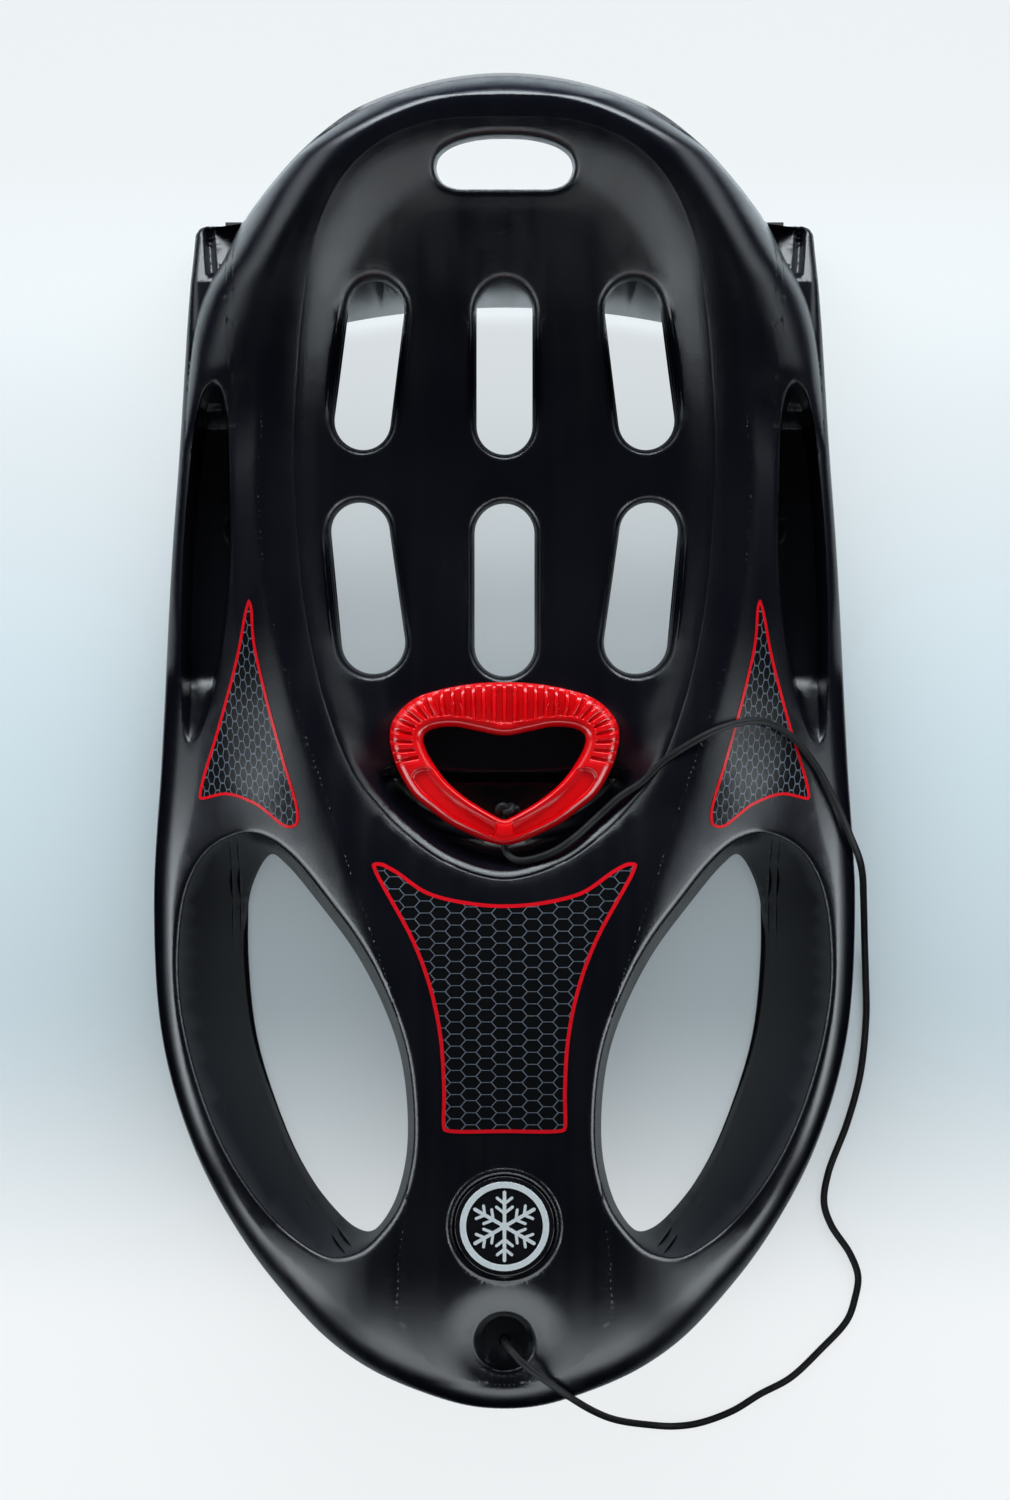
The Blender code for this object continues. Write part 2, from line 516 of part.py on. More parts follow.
def top_of(p):
    """Height of the finished upper surface."""
    p = np.stack([np.abs(p[:, 0]), p[:, 1]], 1)
    base = skin(p)
    distance, along = edge.nearest(p)
    z = turned_down(base, distance, along[:, 0] + EDGE_LAND, DRAFT, along[:, 1])
    from_floor, foot = foot_floor.nearest(p)
    from_lip, _ = foot_lip.nearest(p)
    in_lip = foot_lip.holds(p)
    lip = np.clip(1 - from_lip / FOOT_LIP_RADIUS, 0, 1)
    lipped = z - FOOT_LIP_RADIUS * (1 - np.sqrt(1 - lip ** 2))
    share = from_floor / np.maximum(from_floor + from_lip, 1e-9)
    funnel = foot[:, 0] + EDGE_LAND + (base - FOOT_LIP_RADIUS - foot[:, 0] - EDGE_LAND) * share
    z = np.where(in_lip, np.minimum(funnel, z), lipped)
    for outline in slots.values():
        distance, _ = outline.nearest(p)
        low = base - SLOT_DEPTH + EDGE_LAND
        z = np.where(distance < 0.02, np.minimum(z, turned_down(base, distance, low, DRAFT / 2, SLOT_EDGE_RADIUS)), z)
    return z


def foot_of(p):
    """Height of the lower edge that is nearest, and how far off it is."""
    p = np.stack([np.abs(p[:, 0]), p[:, 1]], 1)
    base = skin(p)
    best, along = edge.nearest(p)
    foot = along[:, 0]
    distance, value = foot_floor.nearest(p)
    foot = np.where(distance < best, value[:, 0], foot)
    best = np.minimum(best, distance)
    for outline in slots.values():
        distance, _ = outline.nearest(p)
        foot = np.where(distance < best, base - SLOT_DEPTH, foot)
        best = np.minimum(best, distance)
    distance, _ = nose_bore.nearest(p)
    foot = np.where(distance < best, base - WALL, foot)
    best = np.minimum(best, distance)
    return foot, best


def in_material(p):
    p = np.stack([np.abs(p[:, 0]), p[:, 1]], 1)
    inside = edge.holds(p)
    for hole in holes:
        inside &= ~hole.holds(p)
    return inside


class Underside:
    """Height of the lower surface: the upper one set in by the wall, square to it, on a fine raster."""

    def __init__(self, pitch=0.0016):
        self.pitch = pitch
        reach = math.ceil(WALL / pitch)
        self.x0, self.y0 = -reach * pitch, NOSE_Y - 0.01
        nx = math.ceil((max(BODY_HALF_WIDTH, TAIL_HALF_WIDTH) + 0.01) / pitch) + reach
        ny = math.ceil((REAR_Y + 0.01 - self.y0) / pitch)
        x, y = np.meshgrid(self.x0 + pitch * np.arange(nx), self.y0 + pitch * np.arange(ny), indexing="ij")
        p = np.stack([x.ravel(), y.ravel()], 1)
        upper, (foot, _) = top_of(p), foot_of(p)
        inside = in_material(p)
        upper = np.where(inside, upper, foot).reshape(nx, ny)
        inside = inside.reshape(nx, ny)
        lowest = upper - WALL * inside
        for i in range(-reach, reach + 1):
            for j in range(-reach, reach + 1):
                away = math.hypot(i, j) * pitch
                if away <= WALL * 1.05:
                    shifted = np.roll(upper, (i, j), (0, 1))
                    drop = np.sqrt(max(WALL ** 2 - away ** 2, 0)) * np.roll(inside, (i, j), (0, 1))
                    lowest = np.minimum(lowest, shifted - drop)
        self.lowest = lowest

    def __call__(self, p):
        foot, away = foot_of(p)
        u = np.clip((np.abs(p[:, 0]) - self.x0) / self.pitch, 0, self.lowest.shape[0] - 1.001)
        v = np.clip((p[:, 1] - self.y0) / self.pitch, 0, self.lowest.shape[1] - 1.001)
        i, j = u.astype(int), v.astype(int)
        u, v = u - i, v - j
        grid = self.lowest
        z = (grid[i, j] * (1 - u) * (1 - v) + grid[i + 1, j] * u * (1 - v) + grid[i, j + 1] * (1 - u) * v
             + grid[i + 1, j + 1] * u * v)
        z = np.where(away < 3 * WALL, np.maximum(z, foot), z)
        return np.where(away < 1e-6, foot, z)


def half_plan(surfaces, lines):
    """Triangles over the right-hand half of the hull, closer together where its surfaces bend."""
    points, edges = [], []

    def add(line, closed):
        first = len(points)
        points.extend(map(tuple, line))
        edges.extend((first + k, first + k + 1) for k in range(len(line) - 1))
        if closed:
            edges.append((first + len(line) - 1, first))

    add(edge.points, False)
    for hole in holes:
        add(hole.points, True)
    for line, closed in lines:
        add(line, closed)
    rows = np.linspace(NOSE_Y, REAR_Y, round((REAR_Y - NOSE_Y) / PLAN_SPACING))
    add(np.stack([np.zeros(len(rows)), rows], 1), False)
    lattice = np.array([(x + (k % 2) * PLAN_SPACING / 2, y)
                        for k, y in enumerate(np.arange(NOSE_Y, REAR_Y, PLAN_SPACING * 0.87))
                        for x in np.arange(PLAN_SPACING / 2, BODY_HALF_WIDTH, PLAN_SPACING)])
    near = np.array([min(np.hypot(*(np.array(points) - q).T)) for q in lattice])
    points.extend(map(tuple, lattice[in_material(lattice) & (near > PLAN_SPACING * 0.55)]))
    for turn in range(REFINING_TURNS + 1):
        made = delaunay_2d_cdt([Vector(q) for q in points], edges, [], 0, 1e-7)
        xy = np.array([tuple(v) for v in made[0]])
        triangles = np.array([f for f in made[2] if len(f) == 3])
        middle = xy[triangles].mean(1)
        triangles = triangles[in_material(middle) & (middle[:, 0] > 1e-6)]
        if turn < REFINING_TURNS:
            points.extend(map(tuple, worst_places(xy, triangles, surfaces)))
    return xy, triangles


def worst_places(xy, triangles, surfaces):
    """The place in each triangle that is furthest from a surface, where that is over the surface's tolerance."""
    a, b, c = (xy[triangles[:, k]] for k in range(3))
    longest = np.max([np.hypot(*(a - b).T), np.hypot(*(b - c).T), np.hypot(*(c - a).T)], axis=0)
    worst = np.ones(len(triangles))
    place = np.zeros((len(triangles), 2))
    for height, tolerance in surfaces:
        za, zb, zc = height(xy)[triangles].T
        normal = np.cross(np.column_stack([b - a, zb - za]), np.column_stack([c - a, zc - za]))
        upright = np.abs(normal[:, 2]) / np.maximum(np.linalg.norm(normal, axis=1), 1e-12)
        for share in ((1 / 3, 1 / 3, 1 / 3), (0.6, 0.2, 0.2), (0.2, 0.6, 0.2), (0.2, 0.2, 0.6)):
            q = a * share[0] + b * share[1] + c * share[2]
            off = np.abs(height(q) - za * share[0] - zb * share[1] - zc * share[2]) * upright / tolerance
            place = np.where((off > worst)[:, None], q, place)
            worst = np.maximum(worst, off)
    kept = []
    for q in place[(worst > 1) & (longest > SHORTEST_SPLIT)]:
        if all(math.dist(q, other) > SHORTEST_SPLIT / 2 for other in kept[-60:]):
            kept.append(q)
    return kept


def new_object(name, mesh, color, roughness, metallic=0.0):
    obj = bpy.data.objects.new(name, mesh)
    bob.objects.link(obj)
    material = bpy.data.materials.new(name)
    material.use_nodes = True
    shader = material.node_tree.nodes["Principled BSDF"]
    shader.inputs["Base Color"].default_value = (*color, 1)
    shader.inputs["Roughness"].default_value = roughness
    shader.inputs["Metallic"].default_value = metallic
    mesh.materials.append(material)
    return obj


def mesh_of(name, points, faces):
    mesh = bpy.data.meshes.new(name)
    mesh.from_pydata([tuple(map(float, q)) for q in points], [], [tuple(map(int, f)) for f in faces])
    return mesh


def shell_between(name, xy, triangles, z_top, z_low, side=1):
    """A closed shell between two heights over the same triangles, left open on the mirror plane."""
    used = sorted(set(triangles.ravel()))
    place = {old: new for new, old in enumerate(used)}
    upper = [tuple(place[i] for i in face)[::side] for face in triangles]
    below = len(used)
    points = [(side * xy[i, 0], xy[i, 1], z_top[i]) for i in used] + [(side * xy[i, 0], xy[i, 1], z_low[i]) for i in used]
    faces = upper + [tuple(below + i for i in face[::-1]) for face in upper]
    sides = {(face[k], face[(k + 1) % 3]) for face in upper for k in range(3)}
    for one, two in sorted(sides):
        on_plane = max(abs(points[one][0]), abs(points[two][0])) < 1e-7
        if (two, one) not in sides and not on_plane:
            faces.append((two, one, below + one, below + two))
    return mesh_of(name, points, faces)


def add_mirror(obj):
    mirror = obj.modifiers.new("Mirror", "MIRROR")
    mirror.use_axis = (True, False, False)
    mirror.merge_threshold = 0.00002


def add_boolean(obj, other, operation):
    boolean = obj.modifiers.new(f"{operation} {other.name}", "BOOLEAN")
    boolean.operation = operation
    boolean.object = other
    boolean.solver = "EXACT"


def swept(sections):
    """A closed bar through sections of equal point counts."""
    edit = bmesh.new()
    rings = [[edit.verts.new(q) for q in section] for section in sections]
    for one, two in zip(rings, rings[1:]):
        for k in range(len(one)):
            nxt = (k + 1) % len(one)
            edit.faces.new((one[k], one[nxt], two[nxt], two[k]))
    edit.faces.new(rings[0][::-1])
    edit.faces.new(rings[-1])
    bmesh.ops.recalc_face_normals(edit, faces=edit.faces)
    mesh = bpy.data.meshes.new("swept")
    edit.to_mesh(mesh)
    edit.free()
    return mesh


def helper(name, mesh):
    """A shape that only cuts another or is joined to it."""
    obj = bpy.data.objects.new(name, mesh)
    cutters.objects.link(obj)
    obj.hide_render = True
    obj.display_type = "WIRE"
    return obj


def half_circle(y, radius, steps=12):
    angles = np.linspace(-math.pi / 2, math.pi / 2, steps + 1)
    line = np.stack([radius * np.cos(angles), y + radius * np.sin(angles)], 1)
    line[[0, -1], 0] = 0
    return line


for leftover in list(bpy.data.objects):
    bpy.data.objects.remove(leftover, do_unlink=True)
bob = bpy.data.collections.new("snow_bob")
cutters = bpy.data.collections.new("cutters")
bpy.context.scene.collection.children.link(bob)
bpy.context.scene.collection.children.link(cutters)

# Hull: a skin between its upper and lower surface, with the two keels' webs under it, mirrored
keel_path = thinned(smooth([(keel_route[0][0], KEEL_REAR_Y)] + keel_route, 0.002), OUTLINE_TOLERANCE, KEEL_STEP)
along_keel = np.gradient(keel_path, axis=0)
along_keel /= np.hypot(*along_keel.T)[:, None]
beside_keel = along_keel[:, ::-1] * (-1, 1)


def keel_band(half_width, past_ends=0.0):
    """A closed outline round the keel's path."""
    one, two = keel_path + beside_keel * half_width, keel_path - beside_keel * half_width
    for side in (one, two):
        side[0] -= along_keel[0] * past_ends
        side[-1] += along_keel[-1] * past_ends
    return Outline(np.vstack([one, two[::-1]]), True)


def strip_bottom(y):
    return np.maximum(keel_rise(y), 0)


def keel_bottom(y):
    return strip_bottom(y) + STRIP_THICKNESS + GAP


lower_surface = Underside()
web = keel_band(KEEL_WEB / 2)
plan_lines = [(edge.moved(-DRAFT), False), (edge.moved(-WALL - DRAFT), False), (crest.points, False),
              (foot_lip.points, True), (hand_recess.points, True), (hand_recess.moved(-RECESS_WALL), True),
              (front_film.points, False), (side_film.points, True),
              (web.points, True), (keel_band(KEEL_WEB / 2 + KEEL_DRAFT, KEEL_DRAFT).points, True),
              (half_circle(BADGE_Y, BADGE_SEAT_RADIUS), False),
              (half_circle(BADGE_Y, BADGE_SEAT_RADIUS + BADGE_SEAT_DRAFT), False),
              (half_circle(NOSE_HOLE_Y, NOSE_CUP_RADIUS + NOSE_CUP_LIP, 8), False),
              (half_circle(NOSE_HOLE_Y, NOSE_CUP_RADIUS, 8), False),
              (half_circle(NOSE_HOLE_Y, NOSE_CUP_RADIUS - DRAFT, 8), False)]
plan, plan_faces = half_plan([(top_of, UPPER_TOLERANCE), (lower_surface, LOWER_TOLERANCE)], plan_lines)
upper_z = top_of(plan)
at_edge = foot_of(plan)[1] < 1e-6
lower_z = lower_surface(plan)
lower_z = np.where(at_edge, lower_z, np.minimum(lower_z, upper_z - LEAST_WALL))
in_web = web.holds(plan) | (web.nearest(plan)[0] < 1e-6)
lower_z = np.where(in_web, keel_bottom(plan[:, 1]) + KEEL_FLANGE - KEEL_OVERLAP, lower_z)
hull = new_object("hull", shell_between("hull", plan, plan_faces, upper_z, lower_z), BLACK, 0.35)
add_mirror(hull)
upper_faces = BVHTree.FromPolygons([(x, y, z) for (x, y), z in zip(plan, upper_z)], plan_faces.tolist())
print("hull half", len(plan_faces), "triangles; least wall", float((upper_z - lower_z).min()))


def surface_height(x, y):
    """Height of the hull's upper faces."""
    hit = upper_faces.ray_cast(Vector((max(abs(x), 1e-5), y, 1)), Vector((0, 0, -1)))[0]
    return hit.z if hit else float(top_of(np.array([[x, y]]))[0])


# Keel flanges, and the stern wall with its top inside the skin
def flange_mesh():
    sections = []
    for (x, y), (nx, ny) in zip(keel_path, beside_keel):
        low = float(keel_bottom(y))
        sections.append([(x + side * nx * KEEL_WIDTH / 2, y + side * ny * KEEL_WIDTH / 2, z)
                         for side, z in ((-1, low), (1, low), (1, low + KEEL_FLANGE), (-1, low + KEEL_FLANGE))])
    return swept(sections)


def stern_mesh():
    sections = []
    for x in np.linspace(0, keel_route[0][0], 12):
        bow = STERN_RADIUS - math.sqrt(STERN_RADIUS ** 2 - x ** 2)
        top_y = STERN_TOP_Y - bow * float(step(np.array((x - 0.10) / 0.06)))
        foot_y = STERN_Y - bow
        front, back = (x, top_y - WALL / 2), (x, top_y + WALL / 2)
        sections.append([(x, foot_y - WALL / 2, STERN_FOOT), (x, foot_y + WALL / 2, STERN_FOOT),
                         (*back, surface_height(*back) - ROOT), (*front, surface_height(*front) - ROOT)])
    return swept([[(-x, y, z) for x, y, z in section] for section in sections[:0:-1]] + sections)


def turned(profile):
    """A profile of (radius, height) points, from the top of the axis down the outside to the bottom."""
    mesh = bpy.data.meshes.new("profile")
    mesh.from_pydata([(radius, 0, height) for radius, height in profile], [(k, k + 1) for k in range(len(profile) - 1)], [])
    return mesh


def add_screw(obj, steps):
    screw = obj.modifiers.new("Screw", "SCREW")
    screw.steps = screw.render_steps = steps
    screw.use_merge_vertices = True
    screw.merge_threshold = 0.00001


def rivet_profile(room, below):
    """A countersunk rivet, or the seat that it goes in with room all round."""
    top = RIVET_LENGTH + room
    return [(0, top), (RIVET_SHANK_RADIUS + room, top), (RIVET_SHANK_RADIUS + room, STRIP_THICKNESS * 0.8),
            (RIVET_HEAD_RADIUS + room, 0.0002), (RIVET_HEAD_RADIUS + room, -below), (0, -below)]


flanges = helper("flanges", flange_mesh())
stern = helper("stern", stern_mesh())
rivet_seats = {"right": [], "left": []}
for side_name, side in (("right", 1), ("left", -1)):
    for number, station in enumerate(RIVET_STATIONS, 1):
        x = side * float(np.interp(station, keel_path[::-1, 1], keel_path[::-1, 0]))
        slope = float(strip_bottom(station + 0.002) - strip_bottom(station - 0.002)) / 0.004
        rivet = new_object(f"{side_name}_rail_rivet_{number}", turned(rivet_profile(0, 0)), ZINC, 0.4, 0.9)
        seat = helper(f"{side_name}_rivet_seat_{number}", turned(rivet_profile(GAP, STRIP_THICKNESS)))
        for obj in (rivet, seat):
            add_screw(obj, RIVET_SIDES)
            obj.location = (x, station, float(strip_bottom(station)) + GAP)
            obj.rotation_euler = (math.atan(slope), 0, 0)
        rivet_seats[side_name].append(seat)
for seat in rivet_seats["right"]:
    add_boolean(flanges, seat, "DIFFERENCE")
add_mirror(flanges)
add_boolean(hull, stern, "UNION")
add_boolean(hull, flanges, "UNION")


# Runner strips: flat steel under the keels, turned up behind the tails
def strip_path():
    """The middle of the strip's outer face: (x, y, z), with its direction sideways."""
    foot_z = float(flank_foot(TAIL_Y))
    lean = DRAFT / (surface_height(keel_route[0][0], TAIL_Y - DRAFT) - foot_z)
    outside = TAIL_Y + GAP + STRIP_THICKNESS
    top = (keel_route[0][0], outside - lean * (STRIP_TOP - foot_z), STRIP_TOP)
    heel = (keel_route[0][0], outside, foot_z)
    bend = [(keel_route[0][0], outside - STRIP_BEND * (1 - math.cos(a)), STRIP_BEND * (1 - math.sin(a)))
            for a in np.linspace(0, math.pi / 2, 5)]
    line = [top, heel] + bend + [(x, y, float(strip_bottom(y))) for x, y in keel_path]
    sides = [(1.0, 0.0)] * (len(line) - len(keel_path)) + [tuple(beside) for beside in beside_keel]
    return line, sides


def strip_mesh(side):
    line, sides = strip_path()
    points = []
    for (x, y, z), (nx, ny) in zip(line, sides):
        points += [(side * (x + w * nx), y + w * ny, z) for w in (STRIP_WIDTH / 2, -STRIP_WIDTH / 2)]
    faces = [(2 * k, 2 * k + 1, 2 * k + 3, 2 * k + 2)[::side] for k in range(len(line) - 1)]
    return mesh_of("strip", points, faces)


for side_name, side in (("right", 1), ("left", -1)):
    strip = new_object(f"{side_name}_runner_rail", strip_mesh(side), STEEL, 0.45, 0.6)
    solidify = strip.modifiers.new("Solidify", "SOLIDIFY")
    solidify.thickness = STRIP_THICKNESS
    solidify.offset = 1
    solidify.use_even_offset = True
    for seat in rivet_seats[side_name]:
        add_boolean(strip, seat, "DIFFERENCE")


# Printed films: the hull's own upper faces, lifted off by the gap
def film_faces(outline):
    return plan_faces[outline.holds(plan[plan_faces].mean(1))]


film_low, film_top = upper_z + GAP, upper_z + GAP + FILM
front_decal = new_object("front_decal", shell_between("film", plan, film_faces(front_film), film_top, film_low), FILM_BLACK,
                         0.25)
add_mirror(front_decal)
for side_name, side in (("right", 1), ("left", -1)):
    film = shell_between("film", plan, film_faces(side_film), film_top, film_low, side)
    new_object(f"{side_name}_side_decal", film, FILM_BLACK, 0.25)

# Badge: a turned disc in its seat, with a ring and a six-armed star on it
badge_z = badge_seat_z() + GAP
badge_disc = new_object("badge_disc", turned([(0, BADGE_THICKNESS), (BADGE_RADIUS - CHAMFER, BADGE_THICKNESS),
                                              (BADGE_RADIUS, BADGE_THICKNESS - CHAMFER), (BADGE_RADIUS, 0), (0, 0)]),
                        FILM_BLACK, 0.2)
badge_disc.location = (0, BADGE_Y, badge_z)
add_screw(badge_disc, 36)
ring_inside = EMBLEM_RADIUS - EMBLEM_RING_WIDTH
ring = turned([(ring_inside, EMBLEM_THICKNESS), (EMBLEM_RADIUS, EMBLEM_THICKNESS), (EMBLEM_RADIUS, 0), (ring_inside, 0),
               (ring_inside, EMBLEM_THICKNESS)])
badge_emblem = new_object("badge_emblem", ring, SILVER, 0.3, 0.3)
badge_emblem.location = (0, BADGE_Y, badge_z + BADGE_THICKNESS + GAP)
add_screw(badge_emblem, 36)


def bar_mesh(length, width):
    mesh = bpy.data.meshes.new("bar")
    edit = bmesh.new()
    bmesh.ops.create_cube(edit, size=1)
    bmesh.ops.scale(edit, vec=(width, length, EMBLEM_THICKNESS), verts=edit.verts)
    bmesh.ops.translate(edit, vec=(0, 0, EMBLEM_THICKNESS / 2), verts=edit.verts)
    edit.to_mesh(mesh)
    edit.free()
    return mesh


for turn in range(3):
    arm = helper(f"star_arm_{turn}", bar_mesh(2 * ring_inside + EMBLEM_RING_WIDTH, EMBLEM_BAR_WIDTH))
    arm.location = badge_emblem.location
    arm.rotation_euler = (0, 0, turn * math.pi / 3)
    add_boolean(badge_emblem, arm, "UNION")


# Handle: a ring lofted between its outer and inner outline, with a ribbed grip and a pocket in each arm
def handle_stations():
    """Outer and inner outline points along the right half of the ring, with how far the surface swells there."""
    pairs = [outer + inner for outer, inner in HANDLE_PAIRS]
    dense = smooth(pairs, 0.001, mirrored=(0, 2))
    middle = (dense[:, :2] + dense[:, 2:]) / 2
    run = np.concatenate([[0], np.cumsum(np.hypot(*np.diff(middle, axis=0).T))])
    last = np.hypot(*(dense - np.array(pairs[GRIP_LAST_PAIR])).T[:2]).argmin()
    ribs = int(run[last] / GRIP_RIB_PITCH * 2)
    at = [k * GRIP_RIB_PITCH / 2 for k in range(ribs + 1)]
    swell = [GRIP_RIB_DEPTH / 2 * (-1) ** k for k in range(ribs + 1)]
    plain = max(2, round((run[-1] - at[-1]) / RING_STEP))
    at += list(np.linspace(at[-1], run[-1], plain + 1)[1:])
    swell += [0.0] * plain
    columns = [np.interp(at, run, dense[:, k]) for k in range(4)]
    return np.stack(columns + [np.array(swell)], 1)


def ring_mesh():
    half = []
    for ox, oy, ix, iy, swell in handle_stations():
        middle, across = np.array([ox + ix, oy + iy]) / 2, np.array([ox - ix, oy - iy]) / 2
        width = np.hypot(*across)
        section = []
        for k in range(SECTION_POINTS):
            angle = 2 * math.pi * (k + 0.5) / SECTION_POINTS
            u, v = (math.copysign(abs(part) ** (2 / SECTION_SQUARENESS), part)
                    for part in (math.cos(angle), math.sin(angle)))
            x, y = middle + across * u * (1 + swell / width)
            section.append((x, y, v * (HANDLE_THICKNESS / 2 + swell)))
        half.append(section)
    for section in (half[0], half[-1]):
        section[:] = [(0.0, y, z) for x, y, z in section]
    rings = half + [[(-x, y, z) for x, y, z in section] for section in half[-2:0:-1]]
    count = SECTION_POINTS
    faces = [(k * count + j, k * count + (j + 1) % count, (k + 1) % len(rings) * count + (j + 1) % count,
              (k + 1) % len(rings) * count + j) for k in range(len(rings)) for j in range(count)]
    mesh = mesh_of("ring", [q for section in rings for q in section], faces)
    outward(mesh)
    return mesh


def outward(mesh):
    edit = bmesh.new()
    edit.from_mesh(mesh)
    bmesh.ops.recalc_face_normals(edit, faces=edit.faces)
    edit.to_mesh(mesh)
    edit.free()


def pocket_mesh():
    """What is cut from the top of the right arm, from the grip's end to the web at the tip."""
    floor, above = HANDLE_THICKNESS / 2 - POCKET_DEPTH, HANDLE_THICKNESS / 2 + 0.004
    sections = []
    first = HANDLE_PAIRS[POCKET_FIRST_PAIR][0][1]
    for ox, oy, ix, iy, _ in handle_stations():
        middle, across = np.array([ox + ix, oy + iy]) / 2, np.array([ox - ix, oy - iy]) / 2 * POCKET_SHARE
        if oy <= first and middle[0] - abs(across[0]) > WEB_HALF_WIDTH:
            one, two = middle - across, middle + across
            sections.append([(*one, floor), (*two, floor), (*two, above), (*one, above)])
    return swept(sections)


handle_rest = bpy.data.objects.new("handle_rest", None)
bob.objects.link(handle_rest)
pull_handle = new_object("pull_handle", ring_mesh(), RED, 0.4)
pockets = helper("handle_pockets", pocket_mesh())
add_mirror(pockets)
tip_outer, tip_inner = HANDLE_PAIRS[-1][0][1], HANDLE_PAIRS[-1][1][1]
bore_mesh = bpy.data.meshes.new("bore")
bore_edit = bmesh.new()
bmesh.ops.create_cone(bore_edit, cap_ends=True, segments=12, radius1=CORD_DIAMETER / 2 + CORD_CLEARANCE,
                      radius2=CORD_DIAMETER / 2 + CORD_CLEARANCE, depth=2 * (tip_inner - tip_outer))
bore_edit.to_mesh(bore_mesh)
bore_edit.free()
handle_bore = helper("handle_bore", bore_mesh)
handle_bore.location = (0, (tip_outer + tip_inner) / 2, 0)
handle_bore.rotation_euler = (math.pi / 2, 0, 0)
add_boolean(pull_handle, pockets, "DIFFERENCE")
add_boolean(pull_handle, handle_bore, "DIFFERENCE")


def knot_mesh(lobes=3):
    """A stopper knot's round lump, with its axis along the cord."""
    mesh = bpy.data.meshes.new("knot")
    edit = bmesh.new()
    bmesh.ops.create_uvsphere(edit, u_segments=12, v_segments=8, radius=KNOT_RADIUS)
    for vertex in edit.verts:
        angle = math.atan2(vertex.co.y, vertex.co.x)
        waist = 1 + KNOT_LOBE * math.cos(lobes * angle)
        vertex.co.x *= waist
        vertex.co.y *= waist
        vertex.co.z *= KNOT_FLATNESS
    edit.to_mesh(mesh)
    edit.free()
    return mesh


handle_knot = new_object("handle_knot", knot_mesh(), BLACK, 0.8)
handle_knot.location = (0, tip_inner + KNOT_STANDOFF + KNOT_RADIUS * KNOT_FLATNESS, 0)
handle_knot.rotation_euler = (math.pi / 2, 0, 0)
nose_knot = new_object("nose_knot", knot_mesh(), BLACK, 0.8)
nose_cup_floor = float(top_of(np.array([[bore_radius * 1.2, NOSE_HOLE_Y]]))[0])
nose_knot.location = (0, NOSE_HOLE_Y, nose_cup_floor - WALL - GAP - KNOT_RADIUS * KNOT_FLATNESS)
for obj in (pull_handle, pockets, handle_bore, handle_knot):
    obj.parent = handle_rest


def rest_height():
    """How high the tilted handle lies when it just touches the hull."""
    lean = Matrix.Rotation(-math.radians(HANDLE_TILT), 3, "X")
    ring_points = [lean @ vertex.co for vertex in pull_handle.data.vertices]
    ring_faces = BVHTree.FromPolygons(ring_points, [tuple(face.vertices) for face in pull_handle.data.polygons])
    lift = [surface_height(q.x, q.y) - q.z for q in ring_points]
    for (x, y), z in zip(plan, upper_z):
        for mirrored in (x, -x):
            hit = ring_faces.ray_cast(Vector((mirrored, y, -1)), Vector((0, 0, 1)))[0]
            if hit:
                lift.append(z - hit.z)
    return max(lift) + HANDLE_REST_GAP


handle_rest.rotation_euler = (-math.radians(HANDLE_TILT), 0, 0)
handle_rest.location = (0, 0, rest_height())
print("handle rests at", [round(v, 4) for v in handle_rest.location])


# Tow cord: a tube along even points on a smooth curve through the route, closer in the handle's bore
def cord_points():
    line = smooth(CORD_ROUTE, 0.002)
    run = np.concatenate([[0], np.cumsum(np.sqrt((np.diff(line, axis=0) ** 2).sum(1)))])
    in_bore = math.dist(CORD_ROUTE[0], CORD_ROUTE[2])
    at = np.linspace(in_bore, run[-1], math.ceil((run[-1] - in_bore) / CORD_POINT_STEP) + 1)
    at = np.concatenate([[0, in_bore / 2], at])
    return np.stack([np.interp(at, run, line[:, k]) for k in range(3)], 1), float(run[-1])


tube_points, cord_length = cord_points()
cord_curve = bpy.data.curves.new("tow_cord", "CURVE")
cord_curve.dimensions = "3D"
cord_curve.bevel_depth = CORD_DIAMETER / 2
cord_curve.bevel_resolution = 2
cord_curve.use_fill_caps = True
spline = cord_curve.splines.new("POLY")
spline.points.add(len(tube_points) - 1)
for point, place in zip(spline.points, tube_points):
    point.co = (*place, 1)
new_object("tow_cord", cord_curve, BLACK, 0.8)
print("cord", round(cord_length, 4), "m in", len(tube_points), "points")
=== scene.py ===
"""Snow bob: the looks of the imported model. The moulded hull, the printed films, the badge, the pull handle and its
braided cord are modelled finely over the frame, and the steel strips and rivets keep their solids.
"""

import math

import bmesh
import bpy
import numpy as np
from mathutils import Matrix, Vector
from mathutils.bvhtree import BVHTree
from mathutils.geometry import delaunay_2d_cdt


